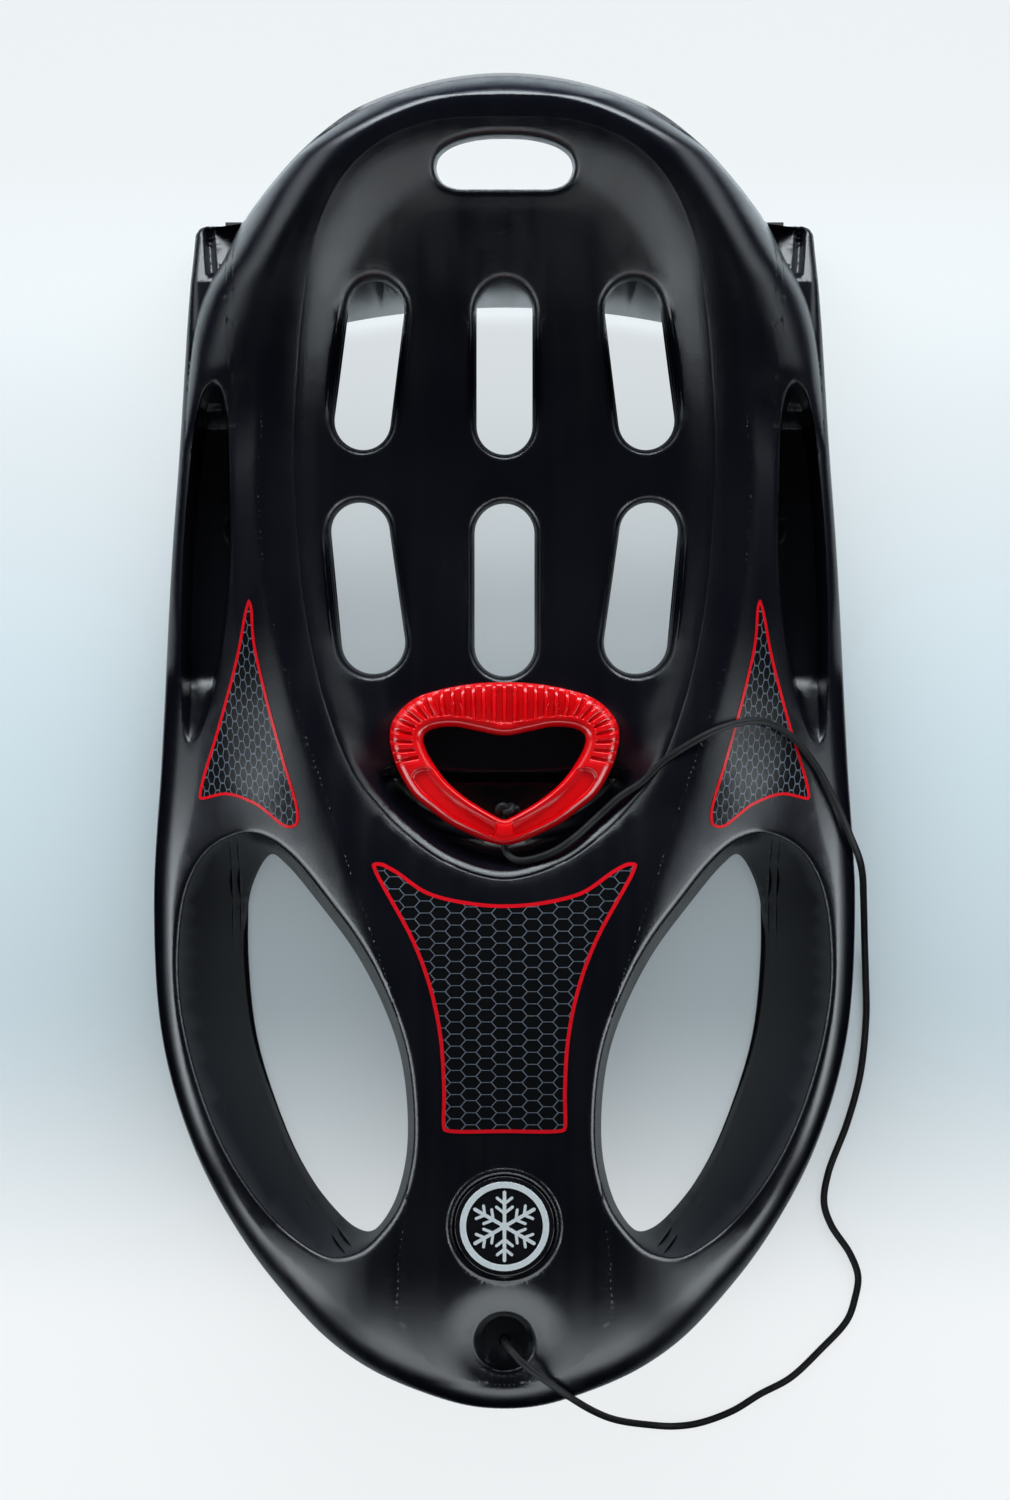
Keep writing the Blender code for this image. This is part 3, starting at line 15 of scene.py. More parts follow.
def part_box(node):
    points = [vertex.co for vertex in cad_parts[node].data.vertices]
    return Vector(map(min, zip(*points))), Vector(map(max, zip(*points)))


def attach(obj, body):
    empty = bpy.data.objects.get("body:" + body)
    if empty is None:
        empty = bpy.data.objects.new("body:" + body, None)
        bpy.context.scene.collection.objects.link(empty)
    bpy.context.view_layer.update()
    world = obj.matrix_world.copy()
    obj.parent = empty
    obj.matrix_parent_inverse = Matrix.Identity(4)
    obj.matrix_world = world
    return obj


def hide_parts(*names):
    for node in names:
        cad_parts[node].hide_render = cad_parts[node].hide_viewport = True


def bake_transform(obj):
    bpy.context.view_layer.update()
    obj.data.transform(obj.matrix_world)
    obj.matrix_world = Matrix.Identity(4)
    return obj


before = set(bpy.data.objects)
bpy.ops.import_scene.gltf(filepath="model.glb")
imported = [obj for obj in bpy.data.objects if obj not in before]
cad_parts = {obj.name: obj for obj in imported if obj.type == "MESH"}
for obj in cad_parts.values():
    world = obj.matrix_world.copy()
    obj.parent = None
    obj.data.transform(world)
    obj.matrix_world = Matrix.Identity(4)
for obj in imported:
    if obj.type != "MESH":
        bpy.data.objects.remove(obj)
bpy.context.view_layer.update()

# View: a camera straight above the bob, 3 m over the floor, with the rear of the bob at the top of the picture.
CAMERA_HEIGHT = 3.0
VIEW_CENTRE = (0.00035, 0.0045)
VIEW_LENGTH = 1.044
SENSOR = 36.0

bpy.ops.object.camera_add(location=(*VIEW_CENTRE, CAMERA_HEIGHT), rotation=(0, 0, 0))
camera = bpy.context.object
camera.data.sensor_width = SENSOR
camera.data.lens = SENSOR * CAMERA_HEIGHT / VIEW_LENGTH
bpy.context.scene.camera = camera
bpy.context.scene.view_settings.view_transform = "Standard"

# Light: a sky that only matt faces see, so that polished black ones stay black, and softboxes that show in them: one
# beside the knees, one beside the nose and a dimmer one beside the backrest, on both sides, one behind the bob and one
# before its nose. The floor keeps the bob's shadow, but to the camera its colour carries painted light: it is painted
# lighter at both ends and darker in the middle, and in part it glows.
SKY_COLOR = (0.88, 0.96, 1.0)
SKY_LEVEL = 0.62
CEILING_LEVEL = 0.012
BACKDROP = (0.76, 0.81, 0.83)
# Softboxes: how far off they stand, from where to where they reach, how tall they are, and how bright.
SIDE_BOXES = {"knee": (0.27, (-0.36, 0.06), 0.27, 7.0), "nose": (0.27, (-0.64, -0.24), 0.30, 5.0),
              "back": (0.40, (0.12, 1.00), 0.42, 2.0)}
REAR_BOX = (0.66, (-0.70, 0.70), 0.55, 12.0)
FRONT_BOX = (0.48, (-0.24, 0.24), 0.27, 3.6)
BOX_END = 0.12
BOX_FOOT = (0.3, 0.5)
BOX_TOP = 0.88
FLOOR_HALF = 4.0
FLOOR_COLOR = (0.62, 0.65, 0.67)
FLOOR_ROUGHNESS = 0.9
# The floor's front tone is painted light: the lightest end of the floor as the camera sees it.
FLOOR_PAINTED_FRONT_LIGHT = (0.95, 0.97, 0.98)
# Along the floor, whose tones are painted light, lighter at both ends and darker in the middle: from where to where
# the next tone takes over, and how much of the tone glows by itself.
FLOOR_PAINTED_LIGHT_TONES = [(-0.40, -0.14, (0.62, 0.70, 0.74)), (-0.02, 0.42, (0.84, 0.88, 0.90))]
FLOOR_GLOW = [(-0.42, -0.16, 0.80, 0.22), (-0.05, 0.26, 0.0, 0.63), (0.28, 0.44, 0.0, 0.13)]


class Shading:
    """A material's node tree, with short calls that add nodes and join them."""

    def __init__(self, tree):
        self.tree = tree

    def node(self, kind, *inputs, **settings):
        made = self.tree.nodes.new(f"ShaderNode{kind}")
        for name, value in settings.items():
            setattr(made, name, value)
        for place, value in enumerate(inputs):
            if value is not None:
                self.put(made.inputs[place], value)
        return made

    def put(self, socket, value):
        if isinstance(value, bpy.types.NodeSocket):
            self.tree.links.new(value, socket)
        else:
            socket.default_value = value

    def math(self, operation, *values):
        return self.node("Math", *values, operation=operation).outputs[0]

    def noise(self, place, scale, detail):
        return self.node("TexNoise", place, None, scale, detail).outputs[0]

    def ramp(self, value, low, high, start=0.0, end=1.0):
        """A value between low and high becomes a smooth step from start to end."""
        made = self.node("MapRange", value, low, high, start, end, interpolation_type="SMOOTHSTEP")
        return made.outputs[0]

    def mix(self, share, one, two):
        """One colour becomes the other as the share goes from 0 to 1."""
        made = self.node("Mix", data_type="RGBA")
        for place, value in ((0, share), (6, one), (7, two)):
            self.put(made.inputs[place], (*value, 1) if isinstance(value, tuple) else value)
        return made.outputs[2]

    def bump(self, shader, height, strength, depth):
        made = self.node("Bump", strength, depth)
        self.put(made.inputs["Height"], height)
        self.put(shader.inputs["Normal"], made.outputs[0])


def finish_of(name):
    """A new material with its shading, its shader, and the place on the piece that its patterns read."""
    material = bpy.data.materials.new(name)
    material.use_nodes = True
    s = Shading(material.node_tree)
    return material, s, material.node_tree.nodes["Principled BSDF"], s.node("TexCoord").outputs["Object"]


def show(material, s, shader):
    """Makes a shader what a material shows."""
    s.put(material.node_tree.nodes["Material Output"].inputs["Surface"], shader.outputs[0])


def light_the_room():
    """Matt faces see the sky, glossy ones a dark ceiling, and the camera a pale backdrop."""
    world = bpy.data.worlds.new("studio")
    bpy.context.scene.world = world
    world.use_nodes = True
    world.cycles.sampling_method = "NONE"
    world.node_tree.nodes.clear()
    s = Shading(world.node_tree)
    path = s.node("LightPath").outputs
    sky = s.node("Background", (*SKY_COLOR, 1), SKY_LEVEL)
    room = s.node("Background", (*SKY_COLOR, 1), CEILING_LEVEL)
    backdrop = s.node("Background", (*BACKDROP, 1), 1.0)
    lit = s.node("MixShader", path["Is Glossy Ray"], sky.outputs[0], room.outputs[0])
    seen = s.node("MixShader", path["Is Camera Ray"], lit.outputs[0], backdrop.outputs[0])
    s.node("OutputWorld", seen.outputs[0])


def softbox(name, turn, away, span, height, level, on_matt=False):
    """An upright light with soft ends and a dark foot, so that steep faces don't see it."""
    bpy.ops.mesh.primitive_plane_add(size=1)
    box = bpy.context.object
    box.name = name
    box.data.transform(Matrix.Translation((sum(span) / 2, away, height / 2)) @ Matrix.Rotation(math.pi / 2, 4, "X")
                       @ Matrix.Diagonal((span[1] - span[0], height, 1, 1)))
    box.rotation_euler = (0, 0, turn)
    material, s, shader, place = finish_of(name)
    material.node_tree.nodes.remove(shader)
    across, _, up = s.node("SeparateXYZ", place).outputs
    low, high = (share * height for share in BOX_FOOT)
    glow = s.math("MULTIPLY", s.ramp(up, low, high, 0.0, level), s.ramp(up, BOX_TOP * height, height, 1.0, 0.0))
    for low, high, outer, inner in ((span[0], span[0] + BOX_END, 0.0, 1.0), (span[1] - BOX_END, span[1], 1.0, 0.0)):
        glow = s.math("MULTIPLY", glow, s.ramp(across, low, high, outer, inner))
    show(material, s, s.node("Emission", (*SKY_COLOR, 1), glow))
    box.data.materials.append(material)
    box.visible_camera = box.visible_shadow = False
    box.visible_diffuse = on_matt


def lay_the_floor():
    """A matt floor, to the camera painted lighter at both ends and glowing in part, so the bob's shadow stays light.
    """
    bpy.ops.mesh.primitive_plane_add(size=2 * FLOOR_HALF, location=(0, 0, 0))
    floor = bpy.context.object
    floor.name = "floor"
    material, s, shader, place = finish_of("floor")
    by_camera = s.node("LightPath").outputs["Is Camera Ray"]
    along = s.node("SeparateXYZ", place).outputs[1]
    # Painted light: the camera sees the floor's tone painted lighter at both ends and darker in the middle.
    tone = FLOOR_PAINTED_FRONT_LIGHT
    for start, end, next_painted_tone in FLOOR_PAINTED_LIGHT_TONES:
        tone = s.mix(s.ramp(along, start, end), tone, next_painted_tone)
    s.put(shader.inputs["Base Color"], s.mix(by_camera, FLOOR_COLOR, tone))
    shader.inputs["Roughness"].default_value = FLOOR_ROUGHNESS
    shader.inputs["Specular IOR Level"].default_value = 0.0
    share = 0.0
    for glow in FLOOR_GLOW:
        share = s.math("ADD", share, s.ramp(along, *glow))
    glowing = s.math("MULTIPLY", share, by_camera)
    show(material, s, s.node("MixShader", glowing, shader.outputs[0], s.node("Emission", tone, 1.0).outputs[0]))
    floor.data.materials.append(material)


light_the_room()
for side_name, side in (("left", 1), ("right", -1)):
    for place_name, (box_away, box_span, box_height, box_level) in SIDE_BOXES.items():
        softbox(f"{side_name}_{place_name}_softbox", side * math.pi / 2, box_away, sorted(side * y for y in box_span),
                box_height, box_level)
softbox("rear_softbox", 0.0, *REAR_BOX, on_matt=True)
softbox("front_softbox", math.pi, *FRONT_BOX)
lay_the_floor()

# Tow cord: black braided polyamide of 5 mm, about 1.05 m from its knot in the handle to its knot under the nose. It
# leaves the handle's tip, climbs the right rail, drops to the floor and comes back over the nose into its hole.
CORD_ROUTE = [
    (0, -0.0419, 0.0755), (0, -0.0530, 0.0767), (0, -0.0612, 0.0777), (0.0028, -0.0670, 0.0802),
    (0.0088, -0.0701, 0.0834), (0.0170, -0.0697, 0.0855), (0.0335, -0.0640, 0.0868), (0.0470, -0.0550, 0.0855),
    (0.0628, -0.0411, 0.0802), (0.0789, -0.0267, 0.0792), (0.0932, -0.0172, 0.0785), (0.1081, -0.0029, 0.0797),
    (0.1242, 0.0079, 0.0840), (0.1418, 0.0174, 0.0857), (0.1589, 0.0228, 0.0802), (0.1735, 0.0241, 0.0754),
    (0.1879, 0.0188, 0.0717), (0.1989, 0.0100, 0.0707), (0.2117, -0.0064, 0.0710), (0.2245, -0.0301, 0.0730),
    (0.2348, -0.0539, 0.0735), (0.2413, -0.0690, 0.0672), (0.2449, -0.0817, 0.0520), (0.2470, -0.0950, 0.0335),
    (0.2488, -0.1100, 0.0168), (0.2500, -0.1290, 0.0070), (0.2510, -0.1520, 0.0036), (0.2514, -0.1818, 0.0028),
    (0.2472, -0.2215, 0.0028), (0.2382, -0.2549, 0.0028), (0.2249, -0.2904, 0.0028), (0.2222, -0.3105, 0.0028),
    (0.2271, -0.3258, 0.0028), (0.2403, -0.3459, 0.0028), (0.2458, -0.3613, 0.0028), (0.2437, -0.3766, 0.0028),
    (0.2382, -0.3919, 0.0028), (0.2194, -0.4127, 0.0028), (0.1985, -0.4322, 0.0028), (0.1777, -0.4434, 0.0028),
    (0.1582, -0.4552, 0.0028), (0.1352, -0.4635, 0.0029), (0.1179, -0.4656, 0.0036), (0.1000, -0.4633, 0.0118),
    (0.0768, -0.4560, 0.0370), (0.0600, -0.4455, 0.0640), (0.0443, -0.4332, 0.0850), (0.0306, -0.4224, 0.0955),
    (0.0192, -0.4139, 0.0985), (0.0104, -0.4065, 0.0975), (0.0048, -0.4005, 0.0935), (0.0012, -0.3964, 0.0875),
    (0, -0.3952, 0.0825), (0, -0.3952, 0.0775)
]
CORD_DIAMETER = 0.005
CORD_STRANDS = 8
STRAND_STEP = 0.0021
STRAND_DEPTH = 0.16
STRAND_ROUNDNESS = 3.4
STRAND_DIP = 0.28
CORD_SIDES = 32
CORD_RING_STEP = 0.00055
CORD_CURVE_STEP = 0.0005
YARN_DARK, YARN_LIGHT = (0.002, 0.002, 0.0025), (0.010, 0.0105, 0.012)
FIBRE_SCALE = 3200.0
YARN_PATCH_SCALE = 60.0


def smooth(points, step, closed=False, mirrored=()):
    """Points about a step apart on a smooth curve through the given ones, whose ends may meet their mirror image."""
    p = np.array(points, float)
    if closed:
        p = np.vstack([p[-1:], p, p[:2]])
    elif mirrored:
        flip = np.array([-1.0 if column in mirrored else 1.0 for column in range(p.shape[1])])
        p = np.vstack([p[1:2] * flip, p, p[-2:-1] * flip])
    else:
        p = np.vstack([2 * p[0] - p[1], p, 2 * p[-1] - p[-2]])
    out = []
    for a, b, c, d in zip(p, p[1:], p[2:], p[3:]):
        t1 = math.dist(a, b) ** 0.5
        t2 = t1 + math.dist(b, c) ** 0.5
        t3 = t2 + math.dist(c, d) ** 0.5
        count = max(1, round(math.dist(b, c) / step))
        for t in np.linspace(t1, t2, count, endpoint=False):
            ab = (a * (t1 - t) + b * t) / t1
            bc = (b * (t2 - t) + c * (t - t1)) / (t2 - t1)
            cd = (c * (t3 - t) + d * (t - t2)) / (t3 - t2)
            ac = (ab * (t2 - t) + bc * t) / t2
            bd = (bc * (t3 - t) + cd * (t - t1)) / (t3 - t1)
            out.append((ac * (t2 - t) + bd * (t - t1)) / (t2 - t1))
    if not closed:
        out.append(p[-2])
    return np.array(out)


def even_points(line, spacing):
    """The line's points at even distances along it, with the distance of each."""
    run = np.concatenate([[0], np.cumsum(np.linalg.norm(np.diff(line, axis=0), axis=1))])
    at = np.linspace(0, run[-1], max(2, round(run[-1] / spacing)) + 1)
    return np.stack([np.interp(at, run, line[:, k]) for k in range(3)], 1), at


def travelling_frame(points):
    """Two directions square to the line at each point, that turn with it and don't twist."""
    along = np.gradient(points, axis=0)
    along /= np.linalg.norm(along, axis=1)[:, None]
    side = np.cross(along[0], (0.0, 0.0, 1.0))
    if np.linalg.norm(side) < 1e-3:
        side = np.array([1.0, 0.0, 0.0])
    sides = []
    for direction in along:
        side = side - direction * (side @ direction)
        side = side / np.linalg.norm(side)
        sides.append(side)
    sides = np.array(sides)
    return sides, np.cross(along, sides)


def braided(name, route):
    """A braided cord along a route: two families of strands wind against each other, over and under in turn."""
    points, at = even_points(route, CORD_RING_STEP)
    one, two = travelling_frame(points)
    angle = np.arange(CORD_SIDES) * 2 * math.pi / CORD_SIDES
    turn = CORD_STRANDS * angle[None, :] / (2 * math.pi)
    left, right = turn + at[:, None] / STRAND_STEP, turn - at[:, None] / STRAND_STEP
    over = (np.floor(left) + np.floor(right)) % 2 > 0.5
    in_left, in_right = left - np.floor(left) - 0.5, right - np.floor(right) - 0.5
    across, lengthwise = np.where(over, in_left, in_right), np.where(over, in_right, in_left)
    height = np.sqrt(1 - STRAND_ROUNDNESS * across ** 2) * (1 - STRAND_DIP * (1 - np.cos(math.pi * lengthwise)))
    radius = CORD_DIAMETER / 2 * (1 - STRAND_DEPTH * (1 - height))
    ring = points[:, None, :] + radius[..., None] * (np.cos(angle)[None, :, None] * one[:, None, :]
                                                     + np.sin(angle)[None, :, None] * two[:, None, :])
    count = len(points)
    vertices = np.vstack([ring.reshape(-1, 3), points[:1], points[-1:]])
    i, j = np.meshgrid(np.arange(count - 1), np.arange(CORD_SIDES), indexing="ij")
    following = (j + 1) % CORD_SIDES
    quads = np.stack([i * CORD_SIDES + j, i * CORD_SIDES + following, (i + 1) * CORD_SIDES + following,
                      (i + 1) * CORD_SIDES + j], -1).reshape(-1, 4)
    faces = quads.tolist()
    first, last = count * CORD_SIDES, count * CORD_SIDES + 1
    for k in range(CORD_SIDES):
        nxt = (k + 1) % CORD_SIDES
        faces.append([first, nxt, k])
        faces.append([last, (count - 1) * CORD_SIDES + k, (count - 1) * CORD_SIDES + nxt])
    return object_of(name, mesh_of(name, vertices, faces, flat=False))


def mesh_of(name, points, faces, flat=True):
    """A mesh from rows of points and from faces, each of which lists its points."""
    mesh = bpy.data.meshes.new(name)
    mesh.from_pydata(np.asarray(points, float).tolist(), [], [list(map(int, face)) for face in faces], shade_flat=flat)
    return mesh


def object_of(name, mesh):
    """A new object of the scene that shows a mesh."""
    made = bpy.data.objects.new(name, mesh)
    bpy.context.scene.collection.objects.link(made)
    return made


def black_yarn():
    """Black yarn: rough, with a faint sheen, fine fibres and slightly uneven dye."""
    material, s, shader, place = finish_of("cord_yarn")
    fibres, patches = s.noise(place, FIBRE_SCALE, 2.0), s.noise(place, YARN_PATCH_SCALE, 2.0)
    tone = s.ramp(s.math("ADD", s.math("MULTIPLY", fibres, 0.7), s.math("MULTIPLY", patches, 0.3)), 0.3, 0.7)
    s.put(shader.inputs["Base Color"], s.mix(tone, YARN_DARK, YARN_LIGHT))
    s.put(shader.inputs["Roughness"], s.ramp(fibres, 0.3, 0.7, 0.36, 0.6))
    shader.inputs["Specular IOR Level"].default_value = 0.2
    shader.inputs["Sheen Weight"].default_value = 0.04
    shader.inputs["Sheen Roughness"].default_value = 0.4
    s.bump(shader, fibres, 0.5, 0.0002)
    return material


tow_cord = braided("cord_braided", smooth(CORD_ROUTE, CORD_CURVE_STEP))
cord_yarn = black_yarn()
tow_cord.data.materials.append(cord_yarn)

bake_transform(tow_cord)
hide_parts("tow_cord")

# Hull: one injection moulding of black polyethylene with a fine grain. Its form is a height over the plan: outlines
# seen from above, lines of height from the nose to the rear, and a wall of even thickness under them. The flanges of
# the two keels and the cross wall at the stern are swept bars that run into it.
NOSE_Y = -0.4465
REAR_Y = 0.4495
TAIL_Y = 0.3625
TAIL_HALF_WIDTH = 0.2135
TAIL_CORNER = 0.010
CORNER_POINTS = 13
TAIL_INNER_X = 0.1755
TAIL_INNER_ROOM = 0.002
BODY_HALF_WIDTH = 0.2415
# Lines seen from above, on the right-hand half. The foot opening's has its edge's height as a third value.
BODY_SIDE = [
    (0, NOSE_Y), (0.026, -0.4442), (0.058, -0.4348), (0.090, -0.4212), (0.121, -0.4002), (0.152, -0.368),
    (0.180, -0.331), (0.213, -0.269), (0.2347, -0.196), (BODY_HALF_WIDTH, -0.105), (0.2375, -0.002), (0.2298, 0.139),
    (0.2248, 0.205), (0.2190, 0.285)
]
RIM_SIDE = [
    (TAIL_INNER_X, TAIL_Y), (0.1655, 0.3712), (0.1532, 0.3832), (0.128, 0.406), (0.099, 0.4258), (0.049, 0.4432),
    (0, REAR_Y)
]
CREST = [
    (0, 0.4292), (0.0483, 0.4236), (0.0861, 0.4075), (0.1120, 0.3833), (0.1291, 0.360), (0.1412, 0.334),
    (0.1500, 0.300), (0.1575, 0.268), (0.1640, 0.220), (0.1660, 0.173), (0.1594, 0.106), (0.1470, 0.055),
    (0.1199, -0.030), (0.0990, -0.092), (0.0831, -0.138), (0.0716, -0.177), (0.0640, -0.215), (0.0621, -0.250),
    (0.0660, -0.300), (0.0715, -0.345), (0.0680, -0.385), (0.0400, -0.415), (0, -0.4243)
]
PANEL = [
    (0, 0.4165), (0.047, 0.4140), (0.082, 0.4010), (0.106, 0.3800), (0.124, 0.3468), (0.1345, 0.2995),
    (0.1400, 0.250), (0.1426, 0.205), (0.1418, 0.173), (0.1375, 0.115), (0.1300, 0.070), (0.1190, 0.028),
    (0.1021, -0.0118), (0.0837, -0.0355), (0.0640, -0.0545), (0.0370, -0.0725), (0, -0.0825)
]
FOOT_FLOOR = [
    (0.1607, -0.0674, 0.024), (0.1745, -0.0885, 0.010), (0.1795, -0.1190, 0.006), (0.1797, -0.1433, 0.006),
    (0.1735, -0.1946, 0.006), (0.1599, -0.2383, 0.009), (0.1423, -0.2780, 0.015), (0.1200, -0.3087, 0.024),
    (0.1016, -0.3242, 0.034), (0.0905, -0.3254, 0.040), (0.0774, -0.3092, 0.042), (0.0684, -0.2803, 0.042),
    (0.0664, -0.2480, 0.042), (0.0712, -0.2060, 0.042), (0.0822, -0.1730, 0.042), (0.1015, -0.1358, 0.040),
    (0.1276, -0.1007, 0.036), (0.1500, -0.0745, 0.030)
]
FOOT_LIP = [
    (0.1600, -0.0560), (0.1758, -0.0524), (0.1990, -0.0630), (0.2134, -0.0863), (0.2200, -0.1296), (0.2178, -0.1723),
    (0.2045, -0.2265), (0.1850, -0.2719), (0.1602, -0.3075), (0.1392, -0.3265), (0.1175, -0.3370), (0.0980, -0.3330),
    (0.0830, -0.3195), (0.0710, -0.3020), (0.0629, -0.2740), (0.0612, -0.2424), (0.0656, -0.2014), (0.0764, -0.1671),
    (0.0952, -0.1301), (0.1210, -0.0952), (0.1430, -0.0690)
]
HAND_RECESS = [
    (0.1945, 0.2555), (0.1883, 0.2412), (0.1860, 0.1877), (0.1862, 0.1241), (0.1920, 0.0725), (0.2010, 0.0317),
    (0.2100, 0.0100), (0.2165, 0.0085), (0.2205, 0.0386), (0.2195, 0.1341), (0.2145, 0.1955), (0.2090, 0.2330),
    (0.2025, 0.2500)
]
WELL = [
    (0, -0.0085), (0.040, -0.0080), (0.072, -0.0050), (0.0860, -0.0110), (0.0790, -0.0280), (0.0580, -0.0455),
    (0.0300, -0.0550), (0, -0.0580)
]
HAND_SLOT = [
    (0, 0.4045), (0.020, 0.4032), (0.035, 0.3990), (0.0430, 0.3930), (0.0447, 0.3860), (0.0410, 0.3790),
    (0.0330, 0.3757), (0.018, 0.3752), (0, 0.3752)
]
# Each slot's two end centres and their radii.
SEAT_SLOTS = {
    "rear_middle": ((0, 0.2990, 0.0188), (0, 0.2250, 0.0190)),
    "front_middle": ((0, 0.1525, 0.0205), (0, 0.0755, 0.0205)),
    "rear_side": ((0.0860, 0.3005, 0.0185), (0.0965, 0.2280, 0.0190)),
    "front_side": ((0.0985, 0.1538, 0.0198), (0.0897, 0.0782, 0.0216)),
}
# Heights and slopes along the hull, each after its place from rear to nose.
SEAT_LINE = [
    (0.44, 0.196), (0.40, 0.178), (0.36, 0.149), (0.30, 0.108), (0.24, 0.080), (0.17, 0.0625), (0.10, 0.0570),
    (0.00, 0.0560), (-0.10, 0.0580)
]
UPPER_LINE = [
    (0.45, 0.204), (0.43, 0.199), (0.40, 0.184), (0.36, 0.157), (0.30, 0.117), (0.24, 0.089), (0.17, 0.072),
    (0.10, 0.067), (0.03, 0.070), (-0.03, 0.079), (-0.08, 0.091), (-0.13, 0.099), (-0.20, 0.105), (-0.27, 0.107),
    (-0.34, 0.105), (-0.39, 0.098), (-0.45, 0.084)
]
RIM_RISE = [
    (0.45, 0.006), (0.36, 0.012), (0.24, 0.013), (0.10, 0.013), (0.00, 0.010), (-0.08, 0.004), (-0.14, 0)
]
OUTER_FALL = [
    (0.45, 1.9), (0.31, 1.75), (0.26, 1.15), (0.20, 0.72), (0.10, 0.60), (0.03, 0.42), (-0.03, 0.30), (-0.08, 0.36),
    (-0.16, 0.45), (-0.30, 0.36), (-0.45, 0.45)
]
DECK_LINE = [
    (0.37, 0.079), (0.30, 0.077), (0.22, 0.069), (0.10, 0.064), (0.00, 0.066), (-0.06, 0.075), (-0.12, 0.081),
    (-0.20, 0.084), (-0.30, 0.083), (-0.36, 0.077), (-0.45, 0.066)
]
FLANK_FOOT = [(0.37, 0.012), (-0.22, 0.012), (-0.32, 0.018), (-0.39, 0.032), (-0.45, 0.048)]
KEEL_RISE = [(0.37, 0), (-0.20, 0), (-0.26, 0.005), (-0.31, 0.016), (-0.35, 0.030)]
SHOULDER = [
    (0.37, 0.006), (0.33, 0.006), (0.27, 0.012), (0.10, 0.014), (-0.10, 0.014), (-0.30, 0.016), (-0.45, 0.020)
]
# Wall thickness, roundings and details.
WALL = 0.0035
DRAFT = 0.0025
BANK_WIDTH = 0.045
PANEL_SLOPE_WIDTH = 0.060
DECK_BLEND = 0.006
BLEND_SINK = 0.15
DECK_END = 0.004
TAIL_EDGE_RADIUS = 0.002
RIM_RADIUS = 0.013
RIM_DEPTH = 0.040
RIM_EDGE = 0.009
EDGE_LAND = 0.0008
LEAST_DROP = 0.001
MOST_ROUNDED = 0.9
LEAST_WALL = 0.0018
SLOT_EDGE_RADIUS = 0.005
SLOT_DEPTH = 0.012
SLOT_REACH = 0.02
FOOT_LIP_RADIUS = 0.005
RECESS_FLOOR = 0.024
RECESS_WALL = 0.005
RECESS_LEDGE = (0.35, 0.2560, 0.018)
RECESS_DROP = (0.65, 0.2360, 0.010)
RECESS_FRONT = (0.004, 0.055)
WELL_DEPTH = 0.018
WELL_WALL = 0.010
STERN_Y = 0.3130
STERN_TOP_Y = 0.3225
STERN_RADIUS = 0.58
STERN_FOOT = 0.010
STERN_BEND = (0.10, 0.06)
STERN_SECTIONS = 40
STERN_BEVEL = 0.0005
ROOT = 0.55 * WALL
NOSE_HOLE_Y = -0.3952
NOSE_CUP_RADIUS = 0.0189
NOSE_CUP_DEPTH = 0.016
NOSE_CUP_LIP = 0.0055
BADGE_Y = -0.3151
BADGE_RADIUS = 0.0335
BADGE_CLEARANCE = 0.0008
BADGE_SEAT_RADIUS = BADGE_RADIUS + BADGE_CLEARANCE
BADGE_SEAT_DRAFT = 0.0006
BADGE_SEAT_DEPTH = 0.0022
BADGE_COLLAR_WIDTH = 0.0045
BADGE_COLLAR_RISE = 0.0012
KEEL_PATH = [
    (0.1840, 0.3000), (0.1840, 0.0000), (0.1848, -0.0900), (0.1848, -0.1400), (0.1790, -0.1950), (0.1650, -0.2420),
    (0.1470, -0.2830), (0.1250, -0.3150), (0.1050, -0.3340)
]
KEEL_REAR_Y = TAIL_Y - 2 * DRAFT
KEEL_STEP = 0.030
KEEL_WEB = 0.005
KEEL_WIDTH = 0.014
KEEL_FLANGE = 0.004
KEEL_BEVEL = 0.0008
KEEL_OVERLAP = 0.001
STRIP_THICKNESS = 0.002
GAP = 0.0003
GROOVE_WIDTH = 0.0006
GROOVE_DEPTHS = [(0.45, -0.0003), (0.36, -0.0002), (0.31, 0.0001), (0.05, 0.0003), (-0.02, 0.0011)]
CHAMFER_WIDTH = 0.0052
CHAMFER_SLOPE = 0.62
NOSE_DISH_RADIUS = 0.048
NOSE_DISH_DEPTH = 0.0056
CREST_ROUNDINGS = [(-0.29, 0.006), (-0.35, 0.030)]
EDGE_TILT = 0.24
EDGE_SOFTNESS = 0.004
BAND_WIDTHS = [
    (0.14, 0.0), (0.09, 0.012), (0.03, 0.030), (-0.03, 0.030), (-0.08, 0.021), (-0.12, 0.0175), (-0.30, 0.0175),
    (-0.36, 0.028), (-0.40, 0.030), (-0.43, 0.022), (-0.46, 0.016)
]
STEEP_WIDTH = 0.030
CHAMFER_END = (0.03, 0.06)
NOSE_BORE_RADIUS = 0.0037
NOSE_BORE_SIDES = 32
HALF_CIRCLE_STEPS = 40
CAPSULE_STEPS = 20
ROLL_WIDTH = [(0.45, 0.040), (0.361, 0.0446), (0.336, 0.0478), (0.326, 0.051), (0.31, 0.055), (0.20, 0.052)]
ROLL_FRONT = (0.205, 0.06)
ROLL_REAR = (0.395, 0.03)
ROLL_EDGE_RADIUS = 0.003
RIM_IN_TAIL = (0.1830, 0.3520)
TAIL_DRAFT = 0.0008
TAIL_FALL = 0.42
TAIL_FALL_Y = 0.322
TAIL_VALLEY = [(0.2017, 0.3575), (0.1990, 0.3290)]
TAIL_VALLEY_WIDTH = 0.0048
TAIL_VALLEY_DEPTH = 0.0050
SEARCH_CELL = 0.02
CURVE_STEP = 0.0008
LINE_STEP = 0.004
OUTLINE_TOLERANCE = 0.00008
LONGEST_EDGE = 0.006
UPPER_TOLERANCE = 0.00007
UNDERSIDE_PITCH = 0.0016
PLAN_SPACING = 0.008
